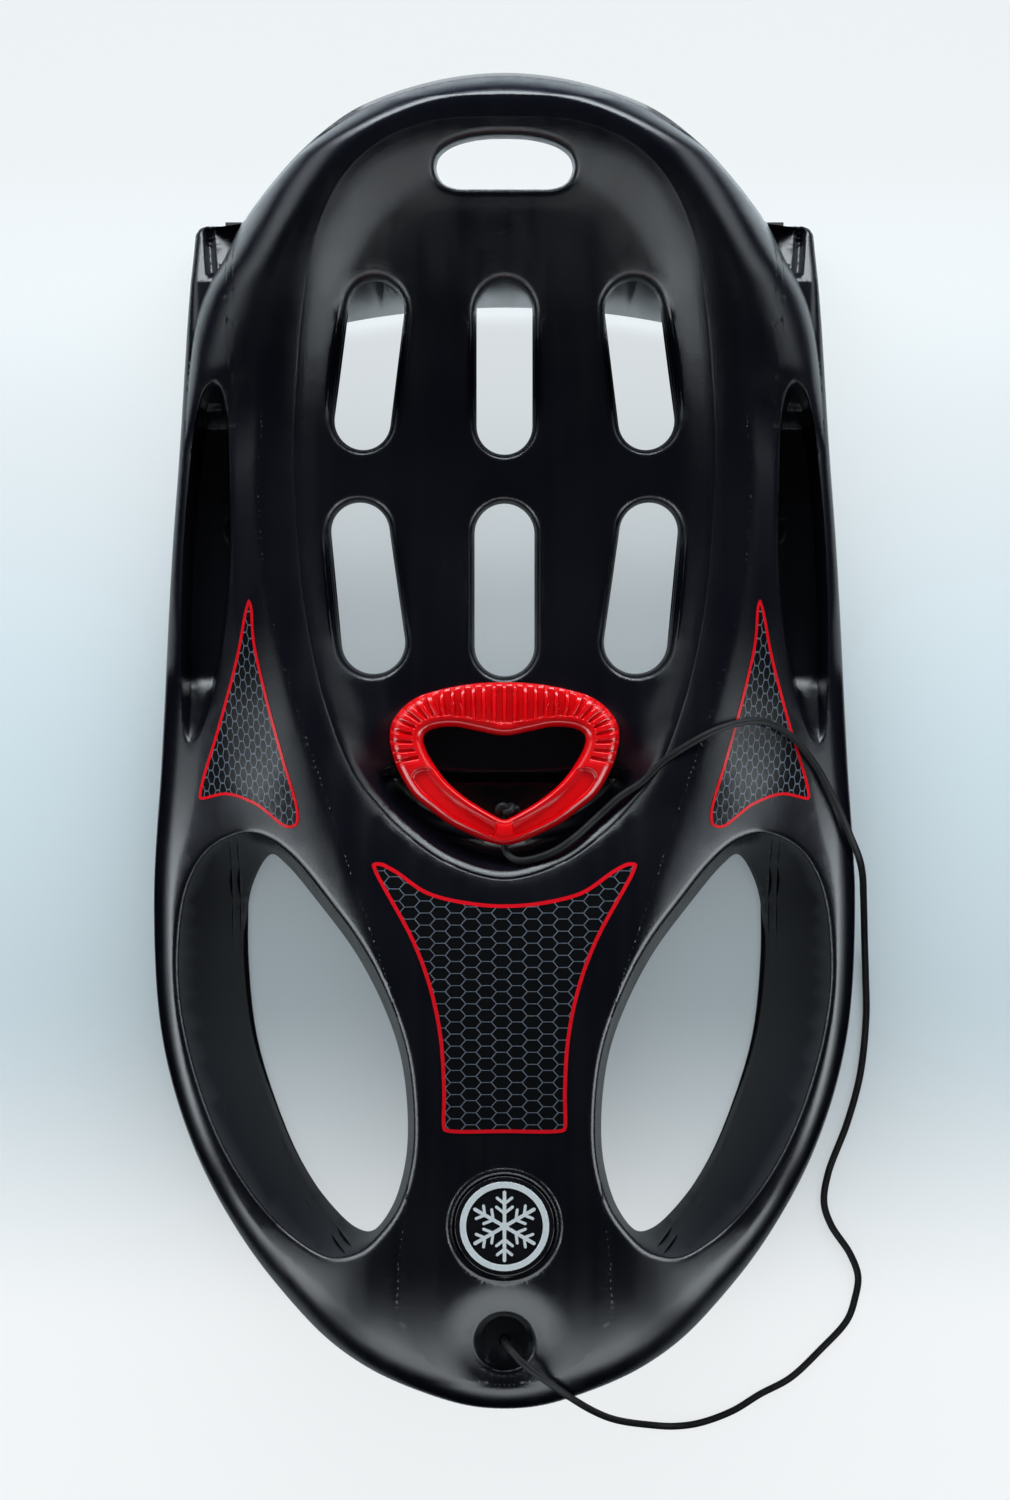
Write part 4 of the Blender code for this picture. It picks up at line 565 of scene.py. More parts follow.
PLAN_ROOM = PLAN_SPACING * 0.55
ROW_SHARE = 0.87
REFINING_TURNS = 4
SHORTEST_SPLIT = 0.0016
EDGE_LINES = (DRAFT, 0.0035, 0.0050, 0.0070, 0.0100, 0.0140)
LIP_LINES = (0.001, 0.0025, FOOT_LIP_RADIUS)
SEAM_MERGE = 0.00002
BLACK = (0.0026, 0.0029, 0.0056)
BLACK_ROUGHNESS = 0.215
GRAIN_SCALE = 1500.0
GRAIN_DEPTH = 0.00016
FLOW_SCALE = (90.0, 2.0, 20.0)


def thinned(line, within, longest):
    """The line with only the points that its shape needs, none further apart than the longest step."""
    keep = {0, len(line) - 1}
    spans = [(0, len(line) - 1)]
    while spans:
        a, b = spans.pop()
        if b - a < 2:
            continue
        along = line[b, :2] - line[a, :2]
        rest = line[a + 1:b, :2] - line[a, :2]
        length = max(np.hypot(*along), 1e-9)
        away = np.abs(along[0] * rest[:, 1] - along[1] * rest[:, 0]) / length
        if length < 1e-6:
            away = np.hypot(*rest.T)
        worst = int(away.argmax())
        if away[worst] <= within and length <= longest:
            continue
        middle = a + 1 + worst if away[worst] > within else (a + b) // 2
        keep.add(middle)
        spans += [(a, middle), (middle, b)]
    return line[sorted(keep)]


class Outline:
    """A line seen from above, closed or ending on the mirror plane, with values that run along it."""

    def __init__(self, line, closed, values=None):
        self.closed = closed
        self.points = line[:, :2]
        self.values = line[:, 2:] if values is None else values
        ends = np.vstack([self.points, self.points[:1]]) if closed else self.points
        self.start, self.end = ends[:-1], ends[1:]
        if closed:
            self.polygon = self.points
        else:
            far = [(-1.0, self.points[-1][1]), (-1.0, self.points[0][1])]
            self.polygon = np.vstack([self.points, far])

    def nearest(self, p):
        """Distance from each point to the line, and the line's values at the nearest place, found cell by cell."""
        span = self.end - self.start
        size = np.maximum((span ** 2).sum(1), 1e-12)
        distance, place, part = np.empty(len(p)), np.empty(len(p), int), np.empty(len(p))
        cell = np.floor(p / SEARCH_CELL).astype(int)
        order = np.lexsort(cell.T)
        ends = np.flatnonzero(np.any(np.diff(cell[order], axis=0) != 0, axis=1)) + 1
        for rows in np.split(order, ends):
            centre = (cell[rows[0]] + 0.5) * SEARCH_CELL
            t = np.clip(((centre - self.start) * span).sum(1) / size, 0, 1)
            away = np.hypot(*(centre - self.start - t[:, None] * span).T)
            near = np.flatnonzero(away <= away.min() + SEARCH_CELL * math.sqrt(2))
            q = p[rows, None, :] - self.start[near]
            t = np.clip((q * span[near]).sum(2) / size[near], 0, 1)
            away = ((q - t[..., None] * span[near]) ** 2).sum(2)
            best = away.argmin(1)
            each = np.arange(len(best))
            distance[rows] = np.sqrt(away[each, best])
            place[rows] = near[best]
            part[rows] = t[each, best]
        if not self.values.shape[1]:
            return distance, None
        following = (place + 1) % len(self.points)
        value = self.values[place] * (1 - part[:, None]) + self.values[following] * part[:, None]
        return distance, value

    def holds(self, p):
        """Whether each point lies inside."""
        a = self.polygon
        b = np.roll(a, -1, axis=0)
        inside = np.zeros(len(p), bool)
        rows = np.flatnonzero(((p >= a.min(0)) & (p <= a.max(0))).all(1))
        x, y = p[rows].T
        within = np.zeros(len(rows), bool)
        for (x1, y1), (x2, y2) in zip(a, b):
            if y1 != y2:
                crosses = (y1 > y) != (y2 > y)
                within ^= crosses & (x < (x2 - x1) * (y - y1) / (y2 - y1) + x1)
        inside[rows] = within
        return inside

    def moved(self, distance):
        """The line's points moved sideways, to the right of its direction."""
        before = np.vstack([self.points[-1:] if self.closed else self.points[:1] * (-1, 1), self.points])[:-1]
        after = np.vstack([self.points, self.points[:1] if self.closed else self.points[-1:] * (-1, 1)])[1:]
        if not self.closed:
            before[0] = self.points[1] * (-1, 1)
            after[-1] = self.points[-2] * (-1, 1)
        along = after - before
        side = np.stack([along[:, 1], -along[:, 0]], 1) / np.maximum(np.hypot(*along.T), 1e-9)[:, None]
        moved = self.points + side * distance
        if not self.closed:
            moved[[0, -1], 0] = 0
        return moved


class Line:
    """A height, or another value, that changes smoothly along the hull."""

    def __init__(self, table):
        line = smooth(sorted(table), LINE_STEP)
        self.y, self.value = line[:, 0], line[:, 1]

    def __call__(self, y):
        return np.interp(y, self.y, self.value)


def step(x):
    """A smooth step from 0 to 1."""
    x = np.clip(x, 0, 1)
    return x * x * (3 - 2 * x)


def larger(a, b, blend):
    """The larger of two heights, rounded where they meet."""
    return 0.5 * (a + b + np.sqrt((a - b) ** 2 + blend ** 2)) - BLEND_SINK * blend


def outline_of(points, closed):
    """The smooth outline through a table's points."""
    line = smooth(points, CURVE_STEP, closed=closed, mirrored=() if closed else (0,))
    if closed:
        line = np.vstack([line, line[:1]])
    line = thinned(line, OUTLINE_TOLERANCE, LONGEST_EDGE)
    return Outline(line[:-1] if closed else line, closed)


def capsule(first, second):
    """The outline of a slot with round ends of unlike radius, from its two end centres."""
    (x1, y1, r1), (x2, y2, r2) = first, second
    turn = math.atan2(y1 - y2, x1 - x2)
    lean = math.asin((r1 - r2) / math.hypot(x1 - x2, y1 - y2))
    points = []
    for x, y, r, middle, half in ((x1, y1, r1, turn, math.pi / 2 + lean),
                                  (x2, y2, r2, turn + math.pi, math.pi / 2 - lean)):
        for k in range(CAPSULE_STEPS + 1):
            angle = middle - half + 2 * half * k / CAPSULE_STEPS
            points.append((x + r * math.cos(angle), y + r * math.sin(angle)))
    return Outline(np.array(points), True, np.empty((len(points), 0)))


def right_half(p):
    """Points of the plan, mirrored to the right-hand half."""
    return np.stack([np.abs(p[:, 0]), p[:, 1]], 1)


def whole(half):
    """The closed outline of a half one and its mirror image."""
    return Outline(np.vstack([half.points, half.points[-2:0:-1] * (-1, 1)]), True)


seat_line, upper_line, rim_rise = Line(SEAT_LINE), Line(UPPER_LINE), Line(RIM_RISE)
outer_fall, deck_line, shoulder = Line(OUTER_FALL), Line(DECK_LINE), Line(SHOULDER)
flank_foot, keel_rise = Line(FLANK_FOOT), Line(KEEL_RISE)
roll_width, groove_depth, band_width = Line(ROLL_WIDTH), Line(GROOVE_DEPTHS), Line(BAND_WIDTHS)
crest_rounding = Line(CREST_ROUNDINGS)

crest = outline_of(CREST, False)
panel = outline_of(PANEL, False)
well = outline_of(WELL, False)
foot_floor = outline_of(FOOT_FLOOR, True)
foot_lip = outline_of(FOOT_LIP, True)
hand_recess = outline_of(HAND_RECESS, True)
slots = {name: capsule(*ends) for name, ends in SEAT_SLOTS.items()}
slots["hand"] = whole(outline_of(HAND_SLOT, False))
bore_steps = np.arange(NOSE_BORE_SIDES) * 2 * math.pi / NOSE_BORE_SIDES + math.pi / 2
nose_bore = Outline(np.stack([NOSE_BORE_RADIUS * np.cos(bore_steps),
                              NOSE_HOLE_Y + NOSE_BORE_RADIUS * np.sin(bore_steps)], 1), True)


def tail_corner():
    """The tail's rounded outer corner, from the side to the rear edge."""
    angles = np.linspace(0, math.pi / 2, CORNER_POINTS)
    x = TAIL_HALF_WIDTH + TAIL_CORNER * (np.cos(angles) - 1)
    y = TAIL_Y + TAIL_CORNER * (np.sin(angles) - 1)
    return np.stack([x, y], 1)


def rolled(y):
    """Where the outer wall is one round roll from the crest to the deck, and not an even slope."""
    (front, front_length), (rear, rear_length) = ROLL_FRONT, ROLL_REAR
    return step((y - front) / front_length) * (1 - step((y - rear) / rear_length))


def outside_crest(p):
    """Height of the surface that falls outwards from the crest to the deck."""
    y = p[:, 1]
    out_of_crest, _ = crest.nearest(p)
    top = upper_line(np.clip(y, CREST[-1][1], CREST[0][1])) + rim_rise(y)
    even = top - outer_fall(y) * (np.hypot(out_of_crest, crest_rounding(y)) - crest_rounding(y))
    has_deck = step((TAIL_Y + DECK_END - y) / DECK_END)
    even = even + (larger(even, deck_line(y), DECK_BLEND) - even) * has_deck
    deck = deck_line(y) - TAIL_FALL * np.clip(y - TAIL_FALL_Y, 0, TAIL_Y - TAIL_FALL_Y)
    roll = deck + (top - deck) * np.sqrt(1 - np.clip(out_of_crest / roll_width(y), 0, 1) ** 2)
    return even + (roll - even) * rolled(y)


def edge_of_hull():
    """The hull's outer edge from the nose to the rear, with its foot's height, its rounding and its draft along it."""
    corner = tail_corner()
    side = smooth(BODY_SIDE + [tuple(corner[0]), (corner[0][0] - DRAFT, REAR_Y)], CURVE_STEP, mirrored=(0,))
    side = thinned(side[side[:, 1] <= corner[0][1]], OUTLINE_TOLERANCE, LONGEST_EDGE)
    rim = smooth([RIM_IN_TAIL] + RIM_SIDE, CURVE_STEP, mirrored=(0,))
    rim = thinned(rim[rim[:, 1] >= TAIL_Y], OUTLINE_TOLERANCE, LONGEST_EDGE)
    body = np.vstack([side, corner[1:], [(TAIL_INNER_X + TAIL_INNER_ROOM, TAIL_Y)]])
    tail = len(body) - len(side)
    radius = np.concatenate([shoulder(side[:, 1]), np.linspace(shoulder(TAIL_Y), TAIL_EDGE_RADIUS, tail - 1),
                             [TAIL_EDGE_RADIUS]])
    draft = np.concatenate([np.full(len(side), DRAFT), np.linspace(DRAFT, TAIL_DRAFT, tail - 1), [TAIL_DRAFT]])
    rim_crest = upper_line(rim[:, 1]) + rim_rise(rim[:, 1])
    rim_foot = np.minimum(rim_crest - RIM_DEPTH, outside_crest(rim) - RIM_EDGE)
    rim_radius = RIM_RADIUS + (ROLL_EDGE_RADIUS - RIM_RADIUS) * rolled(rim[:, 1])
    values = np.vstack([np.stack([flank_foot(body[:, 1]), radius, draft], 1),
                        np.stack([rim_foot, rim_radius, np.full(len(rim), DRAFT)], 1)])
    return Outline(np.vstack([body, rim]), False, values)


edge = edge_of_hull()
holes = [foot_floor, nose_bore, *slots.values()]


def skin(p):
    """Height of the moulding's upper surface before its edges are turned down."""
    y = p[:, 1]
    out_of_crest, _ = crest.nearest(p)
    from_panel, _ = panel.nearest(p)
    in_panel = panel.holds(p)
    rise = rim_rise(y) * step(1 - out_of_crest / BANK_WIDTH)
    fall = upper_line(y) - seat_line(y)
    within = upper_line(y) - seat_drop(y, from_panel, fall) * in_panel + rise
    within = within - groove_depth(y) * np.exp(-(from_panel / GROOVE_WIDTH) ** 2)
    z = np.where(crest.holds(p), within, outside_crest(p))
    z = tail_ridge(p, z)
    z = hollow(p, z, hand_recess, RECESS_WALL, recess_depth(y, z))
    z = hollow(p, z, well, WELL_WALL, WELL_DEPTH)
    return nose_details(p, z)


def seat_drop(y, inside, fall):
    """How far the seat lies under its surround: an even slope, and before the knees a chamfer with a steep fall."""
    even = fall * step(inside / PANEL_SLOPE_WIDTH)
    chamfer = CHAMFER_SLOPE * np.minimum(inside, CHAMFER_WIDTH)
    rest = np.clip((inside - CHAMFER_WIDTH) / (STEEP_WIDTH - CHAMFER_WIDTH), 0, 1)
    steep = chamfer + (fall - CHAMFER_SLOPE * CHAMFER_WIDTH) * (1 - (1 - rest) ** 2)
    before_knees = step((CHAMFER_END[0] - y) / CHAMFER_END[1])
    return even + (steep - even) * before_knees


def tail_ridge(p, z):
    """A short valley inside the tail's outer edge, which leaves a ridge along it."""
    first, last = np.array(TAIL_VALLEY)
    share = np.clip((p - first) @ (last - first) / ((last - first) @ (last - first)), 0, 1)
    away = np.hypot(*(p - first - share[:, None] * (last - first)).T)
    return z - TAIL_VALLEY_DEPTH * step(1 - away / TAIL_VALLEY_WIDTH)


def recess_depth(y, z):
    """The hand recess drops in two steps at its rear end and slopes up at its front end."""
    ledge, drop = (share * step((rear - y) / length) for share, rear, length in (RECESS_LEDGE, RECESS_DROP))
    front = step((y - RECESS_FRONT[0]) / RECESS_FRONT[1])
    return (z - RECESS_FLOOR) * (ledge + drop) * front


def hollow(p, z, outline, wall, depth):
    """The surface sunk by a depth inside an outline, over sloping walls."""
    inside = outline.holds(p)
    distance, _ = outline.nearest(p)
    return z - depth * step(distance / wall) * inside


def nose_details(p, z):
    """The cup round the cord's hole and the badge's round seat."""
    cup_z = float(upper_line(NOSE_HOLE_Y)) - NOSE_CUP_DEPTH
    r = np.hypot(p[:, 0], p[:, 1] - NOSE_HOLE_Y)
    dish = np.clip((NOSE_DISH_RADIUS - r) / (NOSE_DISH_RADIUS - NOSE_CUP_RADIUS - NOSE_CUP_LIP), 0, 1)
    z = z - NOSE_DISH_DEPTH * dish ** 2
    lip = np.clip((NOSE_CUP_RADIUS + NOSE_CUP_LIP - r) / NOSE_CUP_LIP, 0, 1)
    z = z - NOSE_CUP_LIP * (1 - np.sqrt(1 - lip ** 2))
    wall = np.clip((NOSE_CUP_RADIUS - r) / DRAFT, 0, 1)
    z = np.where(wall > 0, z + (cup_z - z) * wall, z)
    seat_z = badge_seat_z()
    r = np.hypot(p[:, 0], p[:, 1] - BADGE_Y)
    collar = np.clip((r - BADGE_SEAT_RADIUS - BADGE_SEAT_DRAFT) / BADGE_COLLAR_WIDTH, 0, 1)
    raised = z + BADGE_COLLAR_RISE * np.sin(math.pi * collar)
    in_seat = np.clip((BADGE_SEAT_RADIUS + BADGE_SEAT_DRAFT - r) / BADGE_SEAT_DRAFT, 0, 1)
    return raised + (seat_z - raised) * in_seat


def badge_seat_z():
    """Height of the floor of the badge's seat."""
    return float(upper_line(BADGE_Y)) - BADGE_SEAT_DEPTH


def turned_down(z, distance, foot, wall, radius):
    """An edge that rounds over and runs down a drafted wall to its foot at distance 0."""
    radius = np.minimum(radius, np.maximum(z - foot, LEAST_DROP) * MOST_ROUNDED)
    over = np.clip((wall + radius - distance) / radius, 0, 1)
    rounded = z - radius * (1 - np.sqrt(1 - over ** 2))
    falling = foot + (z - radius - foot) * np.clip(distance / wall, 0, 1)
    return np.where(distance < wall, falling, rounded)


def band_fall(from_edge, y):
    """How far the band along the outer edge falls below the deck."""
    within = np.maximum(band_width(y) - from_edge, 0)
    return EDGE_TILT * np.where(within < EDGE_SOFTNESS, within ** 2 / 2 / EDGE_SOFTNESS, within - EDGE_SOFTNESS / 2)


def top_of(p):
    """Height of the finished upper surface."""
    p = right_half(p)
    base = skin(p)
    distance, along = edge.nearest(p)
    base = base - band_fall(distance, p[:, 1])
    z = turned_down(base, distance, along[:, 0] + EDGE_LAND, along[:, 2], along[:, 1])
    from_floor, foot = foot_floor.nearest(p)
    from_lip, _ = foot_lip.nearest(p)
    in_lip = foot_lip.holds(p)
    lip = np.clip(1 - from_lip / FOOT_LIP_RADIUS, 0, 1)
    lipped = z - FOOT_LIP_RADIUS * (1 - np.sqrt(1 - lip ** 2))
    share = from_floor / np.maximum(from_floor + from_lip, 1e-9)
    funnel = foot[:, 0] + EDGE_LAND + (base - FOOT_LIP_RADIUS - foot[:, 0] - EDGE_LAND) * share
    z = np.where(in_lip, np.minimum(funnel, z), lipped)
    for outline in slots.values():
        distance, _ = outline.nearest(p)
        low = base - SLOT_DEPTH + EDGE_LAND
        edged = np.minimum(z, turned_down(base, distance, low, DRAFT / 2, SLOT_EDGE_RADIUS))
        z = np.where(distance < SLOT_REACH, edged, z)
    return z


def foot_of(p):
    """Height of the lower edge that is nearest, and how far off it is."""
    p = right_half(p)
    base = skin(p)
    best, along = edge.nearest(p)
    foot = along[:, 0]
    for hole in holes:
        distance, value = hole.nearest(p)
        hole_foot = value[:, 0] if hole is foot_floor else base - (WALL if hole is nose_bore else SLOT_DEPTH)
        foot = np.where(distance < best, hole_foot, foot)
        best = np.minimum(best, distance)
    return foot, best


def in_material(p):
    """Whether each point lies inside the edge and outside every hole."""
    p = right_half(p)
    inside = edge.holds(p)
    for hole in holes:
        inside &= ~hole.holds(p)
    return inside


class Underside:
    """Height of the lower surface: the upper one set in by the wall, square to it, on a fine raster."""

    def __init__(self, pitch):
        self.pitch = pitch
        reach = math.ceil(WALL / pitch)
        self.x0, self.y0 = -reach * pitch, NOSE_Y - 0.01
        nx = math.ceil((max(BODY_HALF_WIDTH, TAIL_HALF_WIDTH) + 0.01) / pitch) + reach
        ny = math.ceil((REAR_Y + 0.01 - self.y0) / pitch)
        x, y = np.meshgrid(self.x0 + pitch * np.arange(nx), self.y0 + pitch * np.arange(ny), indexing="ij")
        p = np.stack([x.ravel(), y.ravel()], 1)
        upper, (foot, _) = top_of(p), foot_of(p)
        inside = in_material(p)
        upper = np.where(inside, upper, foot).reshape(nx, ny)
        inside = inside.reshape(nx, ny)
        lowest = upper - WALL * inside
        for i in range(-reach, reach + 1):
            for j in range(-reach, reach + 1):
                away = math.hypot(i, j) * pitch
                if away <= WALL * 1.05:
                    shifted = np.roll(upper, (i, j), (0, 1))
                    drop = np.sqrt(max(WALL ** 2 - away ** 2, 0)) * np.roll(inside, (i, j), (0, 1))
                    lowest = np.minimum(lowest, shifted - drop)
        self.lowest = lowest

    def __call__(self, p):
        foot, away = foot_of(p)
        u = np.clip((np.abs(p[:, 0]) - self.x0) / self.pitch, 0, self.lowest.shape[0] - 1.001)
        v = np.clip((p[:, 1] - self.y0) / self.pitch, 0, self.lowest.shape[1] - 1.001)
        i, j = u.astype(int), v.astype(int)
        u, v = u - i, v - j
        grid = self.lowest
        z = (grid[i, j] * (1 - u) * (1 - v) + grid[i + 1, j] * u * (1 - v) + grid[i, j + 1] * (1 - u) * v
             + grid[i + 1, j + 1] * u * v)
        z = np.where(away < 3 * WALL, np.maximum(z, foot), z)
        return np.where(away < 1e-6, foot, z)


def lattice_over(low, high, spacing):
    """Points of an even lattice of triangles over a box of the plan."""
    rows = np.arange(low[1], high[1], spacing * ROW_SHARE)
    return np.array([(x + (k % 2) * spacing / 2, y) for k, y in enumerate(rows)
                     for x in np.arange(low[0], high[0], spacing)])


def add_line(points, edges, line, closed):
    """Adds a line to the points and to the edges that the triangles keep."""
    first = len(points)
    points.extend(map(tuple, line))
    edges.extend((first + k, first + k + 1) for k in range(len(line) - 1))
    if closed:
        edges.append((first + len(line) - 1, first))


def triangulated(points, edges):
    """The plan's points and triangles, with the given edges kept."""
    made = delaunay_2d_cdt([Vector(q) for q in points], edges, [], 0, 1e-7)
    return np.array([tuple(v) for v in made[0]]), np.array([face for face in made[2] if len(face) == 3])


def half_plan(surface, lines):
    """Triangles over the right-hand half of the hull, closer together where its surface bends."""
    points, edges = [], []
    for line, closed in [(edge.points, False)] + [(hole.points, True) for hole in holes] + lines:
        add_line(points, edges, line, closed)
    rows = np.linspace(NOSE_Y, REAR_Y, round((REAR_Y - NOSE_Y) / PLAN_SPACING))
    add_line(points, edges, np.stack([np.zeros(len(rows)), rows], 1), False)
    lattice = lattice_over((PLAN_SPACING / 2, NOSE_Y), (BODY_HALF_WIDTH, REAR_Y), PLAN_SPACING)
    known = np.array(points)
    near = np.array([np.hypot(*(known - q).T).min() for q in lattice])
    points.extend(map(tuple, lattice[in_material(lattice) & (near > PLAN_ROOM)]))
    for turn in range(REFINING_TURNS + 1):
        xy, triangles = triangulated(points, edges)
        middle = xy[triangles].mean(1)
        triangles = triangles[in_material(middle) & (middle[:, 0] > 1e-6)]
        if turn < REFINING_TURNS:
            points.extend(map(tuple, worst_places(xy, triangles, surface)))
    return xy, triangles


def worst_places(xy, triangles, surface):
    """The place in each triangle that is furthest from the surface, where that is over the tolerance."""
    a, b, c = (xy[triangles[:, k]] for k in range(3))
    longest = np.max([np.hypot(*(a - b).T), np.hypot(*(b - c).T), np.hypot(*(c - a).T)], axis=0)
    worst = np.ones(len(triangles))
    place = np.zeros((len(triangles), 2))
    za, zb, zc = surface(xy)[triangles].T
    normal = np.cross(np.column_stack([b - a, zb - za]), np.column_stack([c - a, zc - za]))
    upright = np.abs(normal[:, 2]) / np.maximum(np.linalg.norm(normal, axis=1), 1e-12)
    for share in ((1 / 3, 1 / 3, 1 / 3), (0.6, 0.2, 0.2), (0.2, 0.6, 0.2), (0.2, 0.2, 0.6)):
        q = a * share[0] + b * share[1] + c * share[2]
        off = np.abs(surface(q) - za * share[0] - zb * share[1] - zc * share[2]) * upright / UPPER_TOLERANCE
        place = np.where((off > worst)[:, None], q, place)
        worst = np.maximum(worst, off)
    kept = []
    for q in place[(worst > 1) & (longest > SHORTEST_SPLIT)]:
        if all(math.dist(q, other) > SHORTEST_SPLIT / 2 for other in kept[-60:]):
            kept.append(q)
    return kept


def shell_between(name, xy, triangles, z_top, z_low):
    """A closed shell between two heights over the same triangles, left open on the mirror plane."""
    used = sorted(set(triangles.ravel()))
    place = {old: new for new, old in enumerate(used)}
    upper = [tuple(place[i] for i in face) for face in triangles]
    below = len(used)
    points = [(xy[i, 0], xy[i, 1], z[i]) for z in (z_top, z_low) for i in used]
    faces = upper + [tuple(below + i for i in face[::-1]) for face in upper]
    sides = {(face[k], face[(k + 1) % 3]) for face in upper for k in range(3)}
    for one, two in sorted(sides):
        on_plane = max(abs(points[one][0]), abs(points[two][0])) < 1e-7
        if (two, one) not in sides and not on_plane:
            faces.append((two, one, below + one, below + two))
    return mesh_of(name, points, faces)


def swept(sections):
    """A closed bar through sections of equal point counts."""
    edit = bmesh.new()
    rings = [[edit.verts.new(q) for q in section] for section in sections]
    for one, two in zip(rings, rings[1:]):
        for k in range(len(one)):
            nxt = (k + 1) % len(one)
            edit.faces.new((one[k], one[nxt], two[nxt], two[k]))
    edit.faces.new(rings[0][::-1])
    edit.faces.new(rings[-1])
    bmesh.ops.recalc_face_normals(edit, faces=edit.faces)
    mesh = bpy.data.meshes.new("swept")
    edit.to_mesh(mesh)
    edit.free()
    return mesh


def half_circle(y, radius):
    """The right-hand half of a circle round a place on the middle line."""
    angles = np.linspace(-math.pi / 2, math.pi / 2, HALF_CIRCLE_STEPS + 1)
    line = np.stack([radius * np.cos(angles), y + radius * np.sin(angles)], 1)
    line[[0, -1], 0] = 0
    return line


keel_path = thinned(smooth([(KEEL_PATH[0][0], KEEL_REAR_Y)] + KEEL_PATH, 0.001), OUTLINE_TOLERANCE, KEEL_STEP)
along_keel = np.gradient(keel_path, axis=0)
along_keel /= np.hypot(*along_keel.T)[:, None]
beside_keel = along_keel[:, ::-1] * (-1, 1)
web = Outline(np.vstack([keel_path + beside_keel * KEEL_WEB / 2,
                         (keel_path - beside_keel * KEEL_WEB / 2)[::-1]]), True)


def keel_bottom(y):
    """Height of the keel's underside, a small gap over the strip."""
    return np.maximum(keel_rise(y), 0) + STRIP_THICKNESS + GAP


def surface_height(x, y):
    """Height of the hull's upper faces."""
    hit = upper_faces.ray_cast(Vector((max(abs(x), 1e-5), y, 1)), Vector((0, 0, -1)))[0]
    return hit.z if hit else float(top_of(np.array([[x, y]]))[0])


def outside_of(outline, distance):
    """A closed outline's points moved outwards, whichever way round it runs."""
    x, y = outline.points.T
    area = (x * np.roll(y, -1) - y * np.roll(x, -1)).sum()
    return outline.moved(distance * math.copysign(1, area))


def hull_lines():
    """Lines that the hull's triangles follow: its creases, and where its roundings start and end."""
    lines = [(edge.moved(-away), False) for away in EDGE_LINES]
    lines.append((crest.points, False))
    lines += [(panel.moved(away * GROOVE_WIDTH), False) for away in (-2, -1, 0, 1, 2)]
    lines.append((panel.moved(CHAMFER_WIDTH + 2 * GROOVE_WIDTH), False))
    lines += [(foot_lip.points, True)] + [(outside_of(foot_lip, away), True) for away in LIP_LINES]
    lines += [(hand_recess.points, True), (outside_of(hand_recess, -RECESS_WALL), True), (web.points, True)]
    for outline in slots.values():
        lines += [(outside_of(outline, DRAFT / 2 + share * SLOT_EDGE_RADIUS), True) for share in (0, 0.25, 0.6, 1)]
    lines += [(half_circle(BADGE_Y, BADGE_SEAT_RADIUS + out), False)
              for out in (0, BADGE_SEAT_DRAFT, BADGE_COLLAR_WIDTH)]
    lines += [(half_circle(NOSE_HOLE_Y, NOSE_CUP_RADIUS + out), False)
              for out in (-DRAFT, 0, 0.3 * NOSE_CUP_LIP, NOSE_CUP_LIP)]
    return lines


def flange_mesh():
    """The flat foot of the right-hand keel."""
    sections = []
    for (x, y), (nx, ny) in zip(keel_path, beside_keel):
        low = float(keel_bottom(y))
        sections.append([(x + side * nx * KEEL_WIDTH / 2, y + side * ny * KEEL_WIDTH / 2, z)
                         for side, z in ((-1, low), (1, low), (1, low + KEEL_FLANGE), (-1, low + KEEL_FLANGE))])
    return swept(sections)


def stern_mesh():
    """The cross wall at the stern, bowed at its foot and straight at the top of its middle part."""
    sections = []
    for x in np.linspace(0, KEEL_PATH[0][0], STERN_SECTIONS):
        bow = STERN_RADIUS - math.sqrt(STERN_RADIUS ** 2 - x ** 2)
        top_y = STERN_TOP_Y - bow * float(step(np.array((x - STERN_BEND[0]) / STERN_BEND[1])))
        foot_y = STERN_Y - bow
        front, back = (x, top_y - WALL / 2), (x, top_y + WALL / 2)
        sections.append([(x, foot_y - WALL / 2, STERN_FOOT), (x, foot_y + WALL / 2, STERN_FOOT),
                         (*back, surface_height(*back) - ROOT), (*front, surface_height(*front) - ROOT)])
    return swept([[(-x, y, z) for x, y, z in section] for section in sections[:0:-1]] + sections)


def select_only(made):
    """Selects one object alone and makes it the active one."""
    bpy.ops.object.select_all(action="DESELECT")
    bpy.context.view_layer.objects.active = made
    made.select_set(True)


def apply_modifier(made, kind, **settings):
    """Adds a modifier to an object and applies it, as by hand."""
    modifier = made.modifiers.new(kind, kind)
    for name, value in settings.items():
        setattr(modifier, name, value)
    select_only(made)
    bpy.ops.object.modifier_apply(modifier=modifier.name)


def smoothed(made, degrees):
    """Shades an object's faces as smooth where they meet at less than this angle."""
    select_only(made)
    bpy.ops.object.shade_smooth_by_angle(angle=math.radians(degrees))


def shade(color, factor):
    """A darker or lighter shade of a colour."""
    return tuple(factor * c for c in color)


